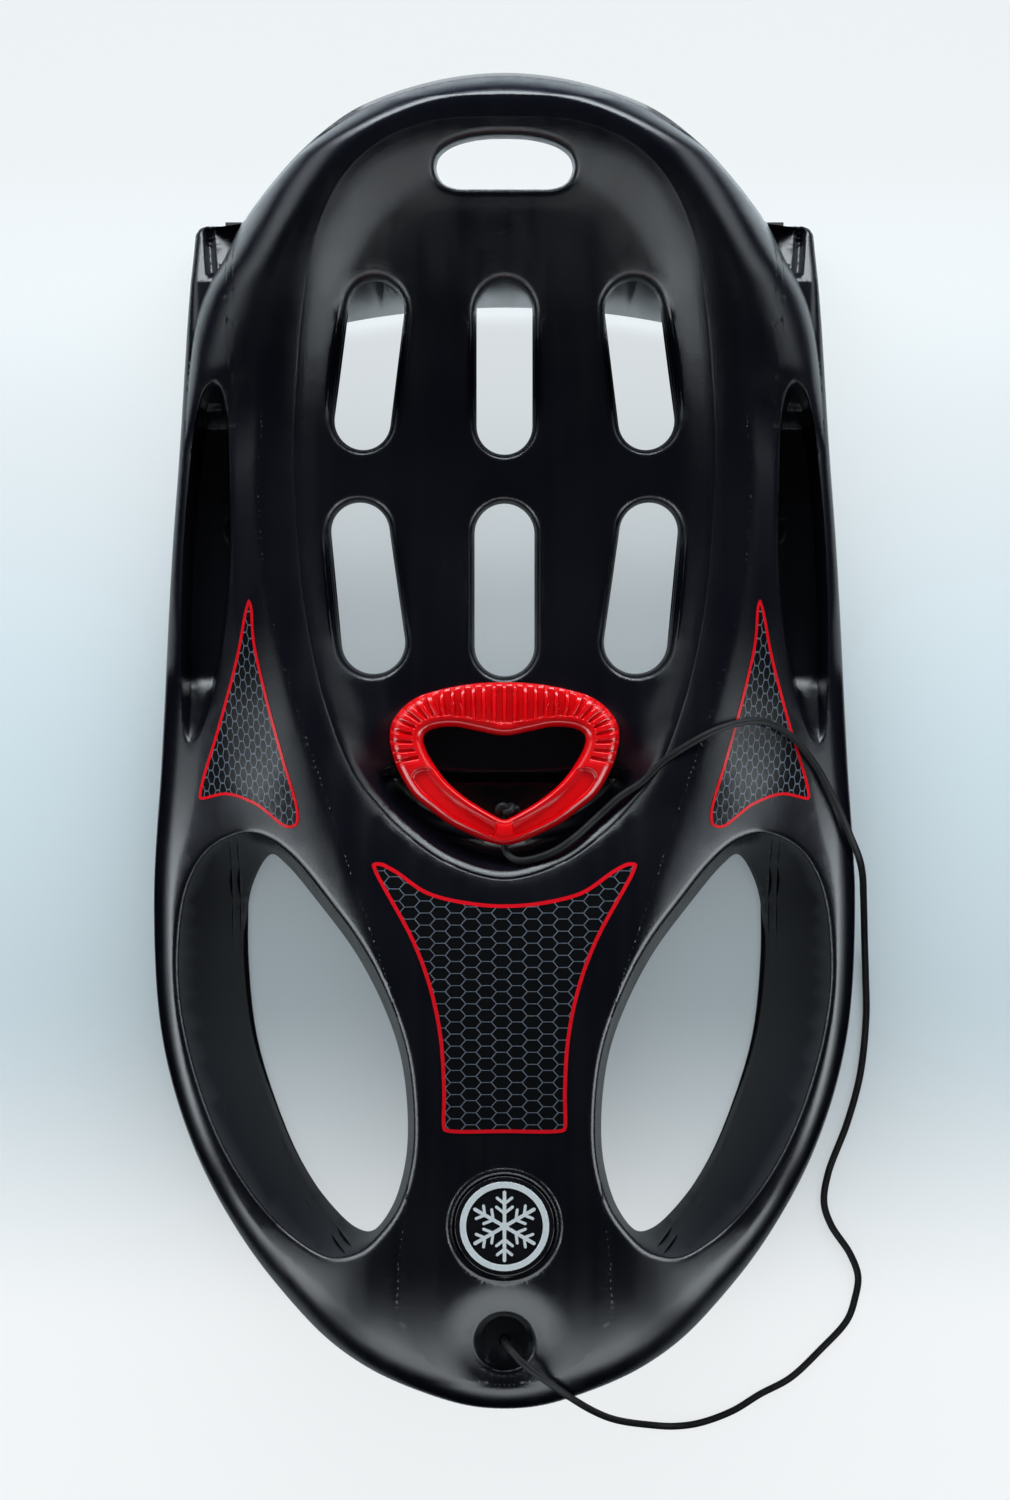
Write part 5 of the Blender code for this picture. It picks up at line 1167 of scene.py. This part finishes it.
def grained_plastic():
    """Moulded polyethylene: a pebbled grain, a little uneven gloss and faint flow lines."""
    material, s, shader, place = finish_of("black_polyethylene")
    pebbles = s.node("TexVoronoi", place, None, GRAIN_SCALE, feature="SMOOTH_F1").outputs[0]
    fine, broad = s.noise(place, GRAIN_SCALE * 1.7, 3.0), s.noise(place, 14.0, 3.0)
    stretched = s.node("Mapping", place)
    stretched.inputs["Scale"].default_value = FLOW_SCALE
    flow = s.noise(stretched.outputs[0], 1.0, 2.0)
    s.bump(shader, s.math("ADD", s.math("MULTIPLY", pebbles, -1.0), s.math("MULTIPLY", fine, 0.6)), 0.55, GRAIN_DEPTH)
    s.put(shader.inputs["Base Color"], s.mix(broad, shade(BLACK, 0.7), shade(BLACK, 1.35)))
    uneven = s.math("ADD", s.math("MULTIPLY", broad, 0.5), s.math("MULTIPLY", flow, 0.5))
    s.put(shader.inputs["Roughness"], s.ramp(uneven, 0.3, 0.7, BLACK_ROUGHNESS - 0.04, BLACK_ROUGHNESS + 0.06))
    return material


lower_surface = Underside(UNDERSIDE_PITCH)
plan, plan_faces = half_plan(top_of, hull_lines())
upper_z = top_of(plan)
at_edge = foot_of(plan)[1] < 1e-6
lower_z = lower_surface(plan)
lower_z = np.where(at_edge, lower_z, np.minimum(lower_z, upper_z - LEAST_WALL))
web_foot = keel_bottom(plan[:, 1]) + KEEL_FLANGE - KEEL_OVERLAP
lower_z = np.where(web.holds(plan), np.minimum(lower_z, web_foot), lower_z)
hull = object_of("hull_moulding", shell_between("hull", plan, plan_faces, upper_z, lower_z))
apply_modifier(hull, "MIRROR", merge_threshold=SEAM_MERGE)
upper_faces = BVHTree.FromPolygons([(x, y, z) for (x, y), z in zip(plan, upper_z)], plan_faces.tolist())
flanges = object_of("keel_flanges", flange_mesh())
apply_modifier(flanges, "MIRROR", merge_threshold=SEAM_MERGE)
apply_modifier(flanges, "BEVEL", width=KEEL_BEVEL, segments=2)
stern = object_of("stern_wall", stern_mesh())
apply_modifier(stern, "BEVEL", width=STERN_BEVEL, segments=2)
black_plastic = grained_plastic()
for piece in (hull, flanges, stern):
    piece.data.materials.append(black_plastic)
    smoothed(piece, 38)
    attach(piece, "hull")
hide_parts("hull")

# Printed films: gloss foils set on the spine and on the rails, black with a mesh of fine grey hexagons inside a red
# border. The mesh on the rails stands upright and is finer.
FRONT_FILM = [
    (0, -0.0995), (0.0250, -0.0975), (0.0522, -0.0905), (0.0737, -0.0760), (0.0840, -0.0712), (0.0892, -0.0723),
    (0.0885, -0.0765), (0.0629, -0.1240), (0.0510, -0.1560), (0.0440, -0.1900), (0.0418, -0.2250), (0.0416, -0.2500),
    (0.0400, -0.2518), (0, -0.2526)
]
SIDE_FILM = [
    (0.1736, 0.1067), (0.1760, 0.1010), (0.1826, 0.0682), (0.1942, 0.0242), (0.2076, -0.0240), (0.2070, -0.0290),
    (0.1888, -0.0262), (0.1690, -0.0330), (0.1478, -0.0482), (0.1405, -0.0465), (0.1392, -0.0380), (0.1500, 0.0000),
    (0.1610, 0.0400), (0.1695, 0.0789), (0.1715, 0.1030)
]
FILM_LIFT = 0.00022
FILM_THICKNESS = 0.00030
FRONT_BORDER = 0.0025
SIDE_BORDER = 0.0019
FILM_SPACING = 0.004
FILM_ROOM = 0.3 * FILM_SPACING
WITHIN_BORDER = 0.98
FRONT_CELLS = (0.01035, 0.0081)
FRONT_CELL_SHIFT = (0.0019, 0.0)
SIDE_CELLS = (0.0037, 0.0092)
SIDE_CELL_TURN = math.radians(4.0)
HEX_RATIO = math.sqrt(3) / 2
FRONT_LINE, SIDE_LINE = 0.033, 0.055
LINE_EDGES = (1.3, 0.7)
FILM_BLACK = (0.0035, 0.0037, 0.0045)
RED_BORDER = (0.60, 0.0028, 0.010)
MESH_LINE = (0.085, 0.100, 0.125)
RIPPLE_SCALE = 220.0


def film_object(name, outline, border, print_inside):
    """A thin foil that follows the hull, with its red border as faces of their own material."""
    lattice = lattice_over(outline.points.min(0), outline.points.max(0), FILM_SPACING)
    lattice = lattice[outline.holds(lattice)]
    away = outline.nearest(lattice)[0]
    lattice = lattice[(away > FILM_ROOM) & (np.abs(away - border) > FILM_ROOM)]
    points, edges = [], []
    for ring in (outline.points, outside_of(outline, -border)):
        add_line(points, edges, ring, True)
    points.extend(map(tuple, lattice))
    xy, triangles = triangulated(points, edges)
    triangles = triangles[outline.holds(xy[triangles].mean(1))]
    z = top_of(xy) + FILM_LIFT
    film = object_of(name, shell_between(name, xy, triangles, z + FILM_THICKNESS, z))
    middles = np.array([tuple(face.center)[:2] for face in film.data.polygons])
    in_border = outline.nearest(middles)[0] < border * WITHIN_BORDER
    for material in (print_inside, border_red):
        film.data.materials.append(material)
    film.data.polygons.foreach_set("material_index", in_border.astype(int))
    smoothed(film, 30)
    return film


def foil_finish(name):
    """A print under a glossy face with a slight ripple."""
    material, s, shader, place = finish_of(name)
    ripple = s.noise(place, RIPPLE_SCALE, 2.0)
    s.bump(shader, ripple, 0.12, 0.0004)
    s.put(shader.inputs["Roughness"], s.ramp(ripple, 0.3, 0.7, 0.12, 0.17))
    return material, s, shader, place


def hexagon_print(name, cells, line, shift=(0.0, 0.0), turn=0.0):
    """Hexagons with flat tops: cells gives how far apart their columns and their rows stand."""
    material, s, shader, place = foil_finish(name)
    turned_place = s.node("Mapping", place)
    turned_place.inputs["Location"].default_value = (*shift, 0)
    turned_place.inputs["Rotation"].default_value = (0, 0, turn)
    parts = s.node("SeparateXYZ", turned_place.outputs[0]).outputs
    across = s.math("DIVIDE", parts[0], cells[0] / HEX_RATIO)
    along = s.math("DIVIDE", parts[1], cells[1])

    def from_centre(offset_x, offset_y):
        x = s.math("WRAP", s.math("ADD", across, offset_x), HEX_RATIO, -HEX_RATIO)
        y = s.math("WRAP", s.math("ADD", along, offset_y), 0.5, -0.5)
        x, y = s.math("ABSOLUTE", x), s.math("ABSOLUTE", y)
        slant = s.math("ADD", s.math("MULTIPLY", x, HEX_RATIO), s.math("MULTIPLY", y, 0.5))
        return s.math("MAXIMUM", y, slant)

    nearest = s.math("MINIMUM", from_centre(0.0, 0.0), from_centre(HEX_RATIO, 0.5))
    on_line = s.ramp(nearest, *(0.5 - line * share for share in LINE_EDGES))
    line_tone = s.mix(s.noise(place, 90.0, 3.0), shade(MESH_LINE, 0.75), shade(MESH_LINE, 1.25))
    s.put(shader.inputs["Base Color"], s.mix(on_line, FILM_BLACK, line_tone))
    return material


def red_print():
    """The border's red ink, a little uneven."""
    material, s, shader, place = foil_finish("red_border_print")
    s.put(shader.inputs["Base Color"], s.mix(s.noise(place, 120.0, 2.0), shade(RED_BORDER, 0.85), RED_BORDER))
    return material


border_red = red_print()
front_film = film_object("front_film", whole(outline_of(FRONT_FILM, False)), FRONT_BORDER,
                         hexagon_print("front_hexagons", FRONT_CELLS, FRONT_LINE, shift=FRONT_CELL_SHIFT))
films = [(front_film, "front_decal")]
rail_outline = outline_of(SIDE_FILM, True)
for side_name, side in (("right", 1), ("left", -1)):
    side_print = hexagon_print(f"{side_name}_hexagons", SIDE_CELLS, SIDE_LINE, turn=side * SIDE_CELL_TURN)
    side_outline = Outline(rail_outline.points * (side, 1), True)
    side_film = film_object(f"{side_name}_side_film", side_outline, SIDE_BORDER, side_print)
    films.append((side_film, f"{side_name}_side_decal"))
for film, node in films:
    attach(film, "hull")
    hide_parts(node)

# Badge: a gloss black disc pressed into its round seat before the spine, printed in silver with a ring and a plain
# six-armed snowflake.
EMBLEM_RADIUS = 0.0300
EMBLEM_RING_WIDTH = 0.0042
BADGE_BEVEL = 0.0007
BADGE_DOME = 0.0004
DOME_AT_RING = 0.2
BEVEL_STEPS = 4
LATHE_STEPS, HUB_STEPS = 96, 24
FLAKE_BAR = 0.0024
FLAKE_POINT = 0.4
FLAKE_REACH = 0.0232
FLAKE_HUB = 0.0030
BARB_BAR = 0.8 * FLAKE_BAR
BARB_LENGTH = 0.0072
BARB_TAPER = (1.1, 12)
BARB_STATIONS = (0.0088, 0.0152)
BARB_LEAN = 52
EMBLEM_RAISE = 0.0003
EMBLEM_BEVEL = 0.0001
BADGE_FOOT = 0.0003
BADGE_DARK, BADGE_LIGHT = (0.004, 0.004, 0.005), (0.008, 0.008, 0.010)
SILVER_DARK, SILVER_LIGHT = (0.56, 0.60, 0.62), (0.74, 0.78, 0.80)


def lathed(name, profile, steps=LATHE_STEPS):
    """A profile of (radius, height) points spun about the upright axis by edit mode's spin."""
    mesh = bpy.data.meshes.new(name)
    mesh.from_pydata([(radius, 0, height) for radius, height in profile],
                     [(k, k + 1) for k in range(len(profile) - 1)], [])
    made = object_of(name, mesh)
    select_only(made)
    bpy.ops.object.mode_set(mode="EDIT")
    bpy.ops.mesh.select_all(action="SELECT")
    bpy.ops.mesh.spin(steps=steps, angle=2 * math.pi, center=(0, 0, 0), axis=(0, 0, 1))
    bpy.ops.mesh.select_all(action="SELECT")
    bpy.ops.mesh.remove_doubles(threshold=0.00001)
    bpy.ops.mesh.normals_make_consistent(inside=False)
    bpy.ops.object.mode_set(mode="OBJECT")
    return made


def placed(made, where):
    """Moves an object's mesh, and leaves the object at the origin."""
    made.data.transform(Matrix.Translation(where))
    made.data.update()


def bar_outline(start, end, width):
    """The corners of a bar with a pointed far end, between two points of the plan."""
    along = (end - start) / np.linalg.norm(end - start)
    beside = np.array([-along[1], along[0]]) * width / 2
    return [start - beside, end - beside, end + along * width * FLAKE_POINT, end + beside, start + beside]


def snowflake():
    """Six arms with two pairs of barbs each, joined into one thin print."""
    points, faces = [], []
    for arm in range(6):
        turn = math.radians(60 * arm)
        out = np.array([math.sin(turn), math.cos(turn)])
        bars = [(out * 0, out * FLAKE_REACH, FLAKE_BAR)]
        for station in BARB_STATIONS:
            for lean in (-1, 1):
                slant = turn + lean * math.radians(BARB_LEAN)
                reach = BARB_LENGTH * (BARB_TAPER[0] - BARB_TAPER[1] * station)
                tip = out * station + np.array([math.sin(slant), math.cos(slant)]) * reach
                bars.append((out * station, tip, BARB_BAR))
        for start, end, width in bars:
            corners = bar_outline(start, end, width)
            first, count = len(points), len(corners)
            points += [(*q, z) for z in (0, EMBLEM_RAISE) for q in corners]
            faces += [[first + k for k in range(count)][::-1], [first + count + k for k in range(count)]]
            faces += [[first + k, first + (k + 1) % count, first + count + (k + 1) % count, first + count + k]
                      for k in range(count)]
    made = object_of("badge_snowflake", mesh_of("snowflake", points, faces))
    hub = lathed("hub", [(0, EMBLEM_RAISE), (FLAKE_HUB, EMBLEM_RAISE), (FLAKE_HUB, 0), (0, 0)], HUB_STEPS)
    apply_modifier(made, "BOOLEAN", operation="UNION", object=hub, solver="EXACT", use_self=True)
    bpy.data.objects.remove(hub)
    return made


def badge_black():
    """Polished black, with a faint haze from handling."""
    material, s, shader, place = finish_of("badge_black")
    haze = s.noise(place, 160.0, 3.0)
    s.put(shader.inputs["Base Color"], s.mix(haze, BADGE_DARK, BADGE_LIGHT))
    s.put(shader.inputs["Roughness"], s.ramp(haze, 0.3, 0.7, 0.10, 0.17))
    return material


def silver_print():
    """Silver ink: fine flakes in a clear binder."""
    material, s, shader, place = finish_of("silver_print")
    flakes = s.noise(place, 2600.0, 2.0)
    s.put(shader.inputs["Base Color"], s.mix(s.ramp(flakes, 0.3, 0.7), SILVER_DARK, SILVER_LIGHT))
    s.put(shader.inputs["Roughness"], s.ramp(flakes, 0.3, 0.7, 0.28, 0.42))
    shader.inputs["Metallic"].default_value = 0.15
    return material


badge_low, badge_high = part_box("badge_disc")
badge_rise = badge_high.z - badge_low.z
badge_profile = [(0, badge_rise + BADGE_DOME), (EMBLEM_RADIUS, badge_rise + BADGE_DOME * DOME_AT_RING),
                 (BADGE_RADIUS - BADGE_BEVEL, badge_rise)]
for k in range(1, BEVEL_STEPS + 1):
    angle = k * math.pi / 2 / BEVEL_STEPS
    badge_profile.append((BADGE_RADIUS - BADGE_BEVEL * (1 - math.sin(angle)),
                          badge_rise - BADGE_BEVEL * (1 - math.cos(angle))))
badge_profile += [(BADGE_RADIUS, BADGE_FOOT), (BADGE_RADIUS - BADGE_FOOT, 0), (0, 0)]
badge = lathed("badge_face", badge_profile)
placed(badge, (0, BADGE_Y, badge_low.z))
smoothed(badge, 35)
badge.data.materials.append(badge_black())
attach(badge, "hull")
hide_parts("badge_disc")

print_z = badge_high.z + BADGE_DOME
ring_inside = EMBLEM_RADIUS - EMBLEM_RING_WIDTH
ring_profile = [(ring_inside, EMBLEM_RAISE), (EMBLEM_RADIUS, EMBLEM_RAISE), (EMBLEM_RADIUS, 0), (ring_inside, 0),
                (ring_inside, EMBLEM_RAISE)]
emblem_ring = lathed("badge_ring", ring_profile)
flake = snowflake()
silver = silver_print()
for piece in (emblem_ring, flake):
    placed(piece, (0, BADGE_Y, print_z))
    apply_modifier(piece, "BEVEL", width=EMBLEM_BEVEL, segments=1, limit_method="ANGLE")
    smoothed(piece, 30)
    piece.data.materials.append(silver)
    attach(piece, "hull")
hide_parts("badge_emblem")

# Pull handle: a ring of red moulded plastic in its well. The grip is ribbed on the outside and smooth along the inner
# edge, each arm has a long pocket, and the cord goes through the web between the pockets.
# Places on the outer line and on the inner one, in pairs from the grip's middle to the tip.
HANDLE_PAIRS = [
    ((0, 0.0509), (0, 0.0145)), ((0.0264, 0.0491), (0.0180, 0.0176)), ((0.0460, 0.0451), (0.0320, 0.0203)),
    ((0.0600, 0.0402), (0.0440, 0.0200)), ((0.0705, 0.0321), (0.0510, 0.0178)), ((0.0767, 0.0230), (0.0543, 0.0148)),
    ((0.0782, 0.0132), (0.0550, 0.0105)), ((0.0763, 0.0017), (0.0530, 0.0040)),
    ((0.0713, -0.0115), (0.0480, -0.0050)), ((0.0623, -0.0262), (0.0400, -0.0158)),
    ((0.0508, -0.0361), (0.0315, -0.0240)), ((0.0377, -0.0459), (0.0215, -0.0315)),
    ((0.0230, -0.0533), (0.0125, -0.0370)), ((0.0097, -0.0587), (0.0050, -0.0412)), ((0, -0.0604), (0, -0.0430))
]
HANDLE_THICKNESS = 0.021
HANDLE_TILT = 6.0
SECTION_SQUARENESS = 2.5
GRIP_LAST_PAIR = 7
HANDLE_STEP = 0.00045
HANDLE_SIDES = 52
SECTION_LINES = (0.64, 0.60, 0.56, 0.50, 0.44, 0.40, 0.30)
RIB_PITCH = 0.00705
UPRIGHT_RIBS = (5.0, 8.0)
FAN_PITCH = 0.0060
RIB_HALF_WIDTHS = (0.0010, 0.0013)
RIB_FLANKS = (0.0006, 0.0015)
GROOVE_DROPS = (0.0046, 0.0026)
GROOVE_LEAST = 0.0009
RIB_SINK = 0.0006
RIB_END_ROOM = 0.0004
MOST_DROP = 0.8
GRIP_FADE = 0.0030
BAND_WIDTH = 0.0070
BAND_STEP = 0.0012
GRIP_LONGER = 0.0100
POCKET_SHARES = (0.60, -0.86)
POCKET_WALLS = (0.0016, 0.0085, 0.0032)
POCKET_DEPTH = (0.0038, 0.0078)
POCKET_REAR_ROOM = 0.0025
WEB_HALF_WIDTH = 0.0051
WEB_DIP = 0.0013
WEB_EDGE = (0.80, 0.3)
WEB_FADE = (2.2, 1.2)
BORE_RADIUS = 0.0031
RED = (0.60, 0.0006, 0.0028)
PEEL_SCALE = 420.0


def handle_grid():
    """Points of the ring before it is tilted: one row for each station along it, one column for each side."""
    pairs = [outer + inner for outer, inner in HANDLE_PAIRS]
    dense = smooth(pairs, 0.0004, mirrored=(0, 2))
    middle = (dense[:, :2] + dense[:, 2:]) / 2
    run = np.concatenate([[0], np.cumsum(np.hypot(*np.diff(middle, axis=0).T))])
    at = np.linspace(0, run[-1], round(run[-1] / HANDLE_STEP))
    columns = [np.interp(at, run, dense[:, k]) for k in range(4)]
    columns[0][[0, -1]] = columns[2][[0, -1]] = 0
    outer, inner = np.stack(columns[:2], 1), np.stack(columns[2:], 1)
    grip_end = run[np.hypot(*(dense - np.array(pairs[GRIP_LAST_PAIR])).T[:2]).argmin()] + GRIP_LONGER

    angle = np.arange(HANDLE_SIDES) * 2 * math.pi / HANDLE_SIDES
    lines = np.arccos(np.array(SECTION_LINES) ** (SECTION_SQUARENESS / 2))
    angle = np.sort(np.concatenate([angle, lines, math.pi - lines]))
    u = np.sign(np.cos(angle)) * np.abs(np.cos(angle)) ** (2 / SECTION_SQUARENESS)
    v = np.sign(np.sin(angle)) * np.abs(np.sin(angle)) ** (2 / SECTION_SQUARENESS)

    centre, across = (outer + inner) / 2, (outer - inner) / 2
    width = np.hypot(*across.T)
    plan_xy = centre[:, None, :] + across[:, None, :] * u[None, :, None]
    z = v[None, :] * HANDLE_THICKNESS / 2
    z = z - np.sign(v)[None, :] * rib_drop(at, plan_xy[:, :, 0], grip_end, width, u, v)
    z = z - pocket_drop(at, grip_end, centre, width, u, v)
    return np.dstack([plan_xy, z])


def rib_drop(at, x, grip_end, width, u, v):
    """How deep the grip lies under the ring's plain section: a little at its ribs, and more in the grooves between."""
    middle_x = x.mean(1)
    rising = slice(0, middle_x.argmax())
    first, last = np.interp(np.array(UPRIGHT_RIBS) * RIB_PITCH, middle_x[rising], at[rising])
    fanned = step((at - first) / (last - first))[:, None]
    upright, turned = x / RIB_PITCH, UPRIGHT_RIBS[0] + (at[:, None] - first) / FAN_PITCH
    count = upright + (turned - upright) * fanned
    from_rib = np.abs(count - np.round(count)) * (RIB_PITCH + (FAN_PITCH - RIB_PITCH) * fanned)
    half_width, flank, groove = (a + (b - a) * fanned for a, b in (RIB_HALF_WIDTHS, RIB_FLANKS, GROOVE_DROPS))
    on_grip = step((grip_end - at) / GRIP_FADE)
    floor = np.maximum(groove - (1 - np.abs(v))[None, :] * HANDLE_THICKNESS / 2, GROOVE_LEAST)
    depth = (RIB_SINK + floor * step((from_rib - half_width) / flank)) * on_grip[:, None]
    inner_end = BAND_WIDTH / width - 1
    outer_end = 1 - RIB_END_ROOM / width
    over = (step((u[None, :] - inner_end[:, None]) * width[:, None] / BAND_STEP)
            * step((outer_end[:, None] - u[None, :]) * width[:, None] / BAND_STEP))
    return np.minimum(depth * over, MOST_DROP * np.abs(v)[None, :] * HANDLE_THICKNESS / 2)


def pocket_drop(at, grip_end, centre, width, u, v):
    """How deep the arms' pockets and the web between them lie below the ring's plain top."""
    start = grip_end + POCKET_REAR_ROOM
    arm = at > grip_end
    end = float(np.interp(-WEB_HALF_WIDTH, -centre[arm, 0], at[arm]))
    across = width[:, None] * u[None, :]
    outer, inner = (share * width[:, None] for share in POCKET_SHARES)
    half = (outer - inner) / 2
    bow = half - np.sqrt(np.maximum(half ** 2 - (across - (outer + inner) / 2) ** 2, 0))
    crisp, gentle, rear = POCKET_WALLS
    within = (step((outer - across) / crisp) * step((across - inner) / gentle)
              * step((at[:, None] - start - bow) / rear) * step((end - at[:, None]) / crisp))
    share = np.clip((at - start) / (end - start), 0, 1)[:, None]
    trough = (POCKET_DEPTH[0] + (POCKET_DEPTH[1] - POCKET_DEPTH[0]) * share) * within
    on_web = step((WEB_FADE[0] * WEB_HALF_WIDTH - np.abs(centre[:, 0])) / (WEB_FADE[1] * WEB_HALF_WIDTH))[:, None]
    dip = WEB_DIP * on_web * step((WEB_EDGE[0] - np.abs(u)) / WEB_EDGE[1])[None, :]
    return np.maximum(trough, dip) * (v > 0)[None, :]


def handle_mesh():
    """The whole ring, from its right-hand half and that half's mirror image."""
    half = handle_grid()
    ring = np.vstack([half, half[-2:0:-1] * (-1, 1, 1)])
    rows, columns = ring.shape[:2]
    i, j = np.meshgrid(np.arange(rows), np.arange(columns), indexing="ij")
    ahead, beside = (i + 1) % rows, (j + 1) % columns
    faces = np.stack([i * columns + j, ahead * columns + j, ahead * columns + beside, i * columns + beside], -1)
    return mesh_of("handle_ring", ring.reshape(-1, 3), faces.reshape(-1, 4), flat=False)


def red_plastic():
    """Glossy red polypropylene with a faint orange-peel and slightly uneven gloss."""
    material, s, shader, place = finish_of("red_polypropylene")
    broad = s.noise(place, 35.0, 3.0)
    s.put(shader.inputs["Base Color"], s.mix(broad, shade(RED, 0.93), RED))
    s.put(shader.inputs["Roughness"], s.ramp(broad, 0.3, 0.7, 0.13, 0.19))
    s.bump(shader, s.noise(place, PEEL_SCALE, 2.0), 0.10, 0.0003)
    return material


handle = object_of("handle_ring", handle_mesh())
tip_outer, tip_inner = HANDLE_PAIRS[-1][0][1], HANDLE_PAIRS[-1][1][1]
bpy.ops.mesh.primitive_cylinder_add(vertices=40, radius=BORE_RADIUS, depth=2 * (tip_inner - tip_outer),
                                    location=(0, (tip_inner + tip_outer) / 2, 0), rotation=(math.pi / 2, 0, 0))
bore_cutter = bpy.context.object
apply_modifier(handle, "BOOLEAN", operation="DIFFERENCE", object=bore_cutter, solver="EXACT")
bpy.data.objects.remove(bore_cutter)
handle.data.transform(Matrix.Rotation(-math.radians(HANDLE_TILT), 4, "X"))
heights_now = [vertex.co.z for vertex in handle.data.vertices]
handle_low, handle_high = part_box("pull_handle")
handle_lift = (handle_low.z + handle_high.z - min(heights_now) - max(heights_now)) / 2
placed(handle, (0, 0, handle_lift))
smoothed(handle, 48)
handle.data.materials.append(red_plastic())
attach(handle, "handle")
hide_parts("pull_handle")

# Stopper knots: an overhand knot in each end of the cord, pulled tight, with its short end left standing out.
KNOT_TURN_RADIUS = 0.00172
KNOT_HEIGHT = 0.0022
KNOT_POINTS = 240
TAIL_STEP = 0.0004
NECK_POINTS = 20
HANDLE_NECK, NOSE_NECK = 0.0058, 0.0060
KNOT_TAIL = [(0.0040, 0.0, 0.0010), (0.0066, 0.0012, 0.0004), (0.0094, 0.0018, -0.0004)]


def knot_object(name, centre, turn, neck):
    """A tight trefoil of the cord round its own axis, with a neck to the cord and the cut end."""
    angle = np.linspace(0, 2 * math.pi, KNOT_POINTS, endpoint=False)
    loop = np.stack([KNOT_TURN_RADIUS * (np.sin(angle) + 2 * np.sin(2 * angle)),
                     KNOT_TURN_RADIUS * (np.cos(angle) - 2 * np.cos(2 * angle)), -KNOT_HEIGHT * np.sin(3 * angle)], 1)
    loop = np.vstack([loop, loop[:3]])
    parts = [braided(name, loop), braided(name + "_end", smooth(KNOT_TAIL, TAIL_STEP)),
             braided(name + "_neck", np.linspace((0, 0, 0), (0, 0, neck), NECK_POINTS))]
    knot = parts[0]
    select_only(knot)
    for part in parts:
        part.select_set(True)
    bpy.ops.object.join()
    knot.data.transform(Matrix.Translation(centre) @ turn)
    knot.data.materials.append(cord_yarn)
    return knot


bore_turn = Matrix.Rotation(math.radians(90 - HANDLE_TILT), 4, "X")
knot_low, knot_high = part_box("handle_knot")
handle_knot = knot_object("handle_stopper", (knot_low + knot_high) / 2, bore_turn, HANDLE_NECK)
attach(handle_knot, "handle")
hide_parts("handle_knot")
knot_low, knot_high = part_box("nose_knot")
nose_knot = knot_object("nose_stopper", (knot_low + knot_high) / 2, Matrix.Identity(4), NOSE_NECK)
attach(nose_knot, "hull")
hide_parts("nose_knot")

# Runner strips: flat steel, dipped black and worn bright where they slide. They are the frame's own solids and are
# held by zinc rivets.
STEEL_BLACK = (0.018, 0.019, 0.021)
STEEL_BARE = (0.42, 0.42, 0.41)
ZINC = (0.50, 0.51, 0.52)
GRIME = (0.16, 0.16, 0.165)
SCRATCH_SCALE = (900.0, 14.0, 900.0)
WEAR_HEIGHTS = (0.0006, 0.0016)
SPANGLE_SCALE = 700.0


def coated_steel():
    """A black dip that the snow and the ground have scratched off the sliding face in long streaks."""
    material, s, shader, place = finish_of("coated_steel")
    stretched = s.node("Mapping", place)
    stretched.inputs["Scale"].default_value = SCRATCH_SCALE
    scratches, blotches = s.noise(stretched.outputs[0], 1.0, 3.0), s.noise(place, 40.0, 4.0)
    low = s.ramp(s.node("SeparateXYZ", place).outputs[2], *WEAR_HEIGHTS, 1.0, 0.0)
    worn = s.math("MULTIPLY", low, s.ramp(s.math("ADD", scratches, s.math("MULTIPLY", blotches, 0.6)), 0.72, 0.98))
    s.put(shader.inputs["Base Color"], s.mix(worn, STEEL_BLACK, STEEL_BARE))
    s.put(shader.inputs["Metallic"], worn)
    s.put(shader.inputs["Roughness"], s.ramp(blotches, 0.3, 0.7, 0.34, 0.5))
    s.bump(shader, scratches, 0.2, 0.0001)
    return material


def zinc_coat():
    """Zinc plating with its spangle, and grime in uneven patches."""
    material, s, shader, place = finish_of("zinc_coat")
    spangle = s.node("TexVoronoi", place, None, SPANGLE_SCALE).outputs[1]
    grime = s.noise(place, 260.0, 3.0)
    s.put(shader.inputs["Base Color"], s.mix(s.ramp(grime, 0.45, 0.75, 0.0, 0.7), s.mix(0.12, ZINC, spangle), GRIME))
    s.put(shader.inputs["Roughness"], s.ramp(grime, 0.3, 0.7, 0.28, 0.5))
    shader.inputs["Metallic"].default_value = 1.0
    return material


steel, zinc = coated_steel(), zinc_coat()
for node_name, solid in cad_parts.items():
    if node_name.endswith("_runner_rail"):
        solid.material_slots[0].material = steel
    if "_rail_rivet_" in node_name:
        solid.material_slots[0].material = zinc
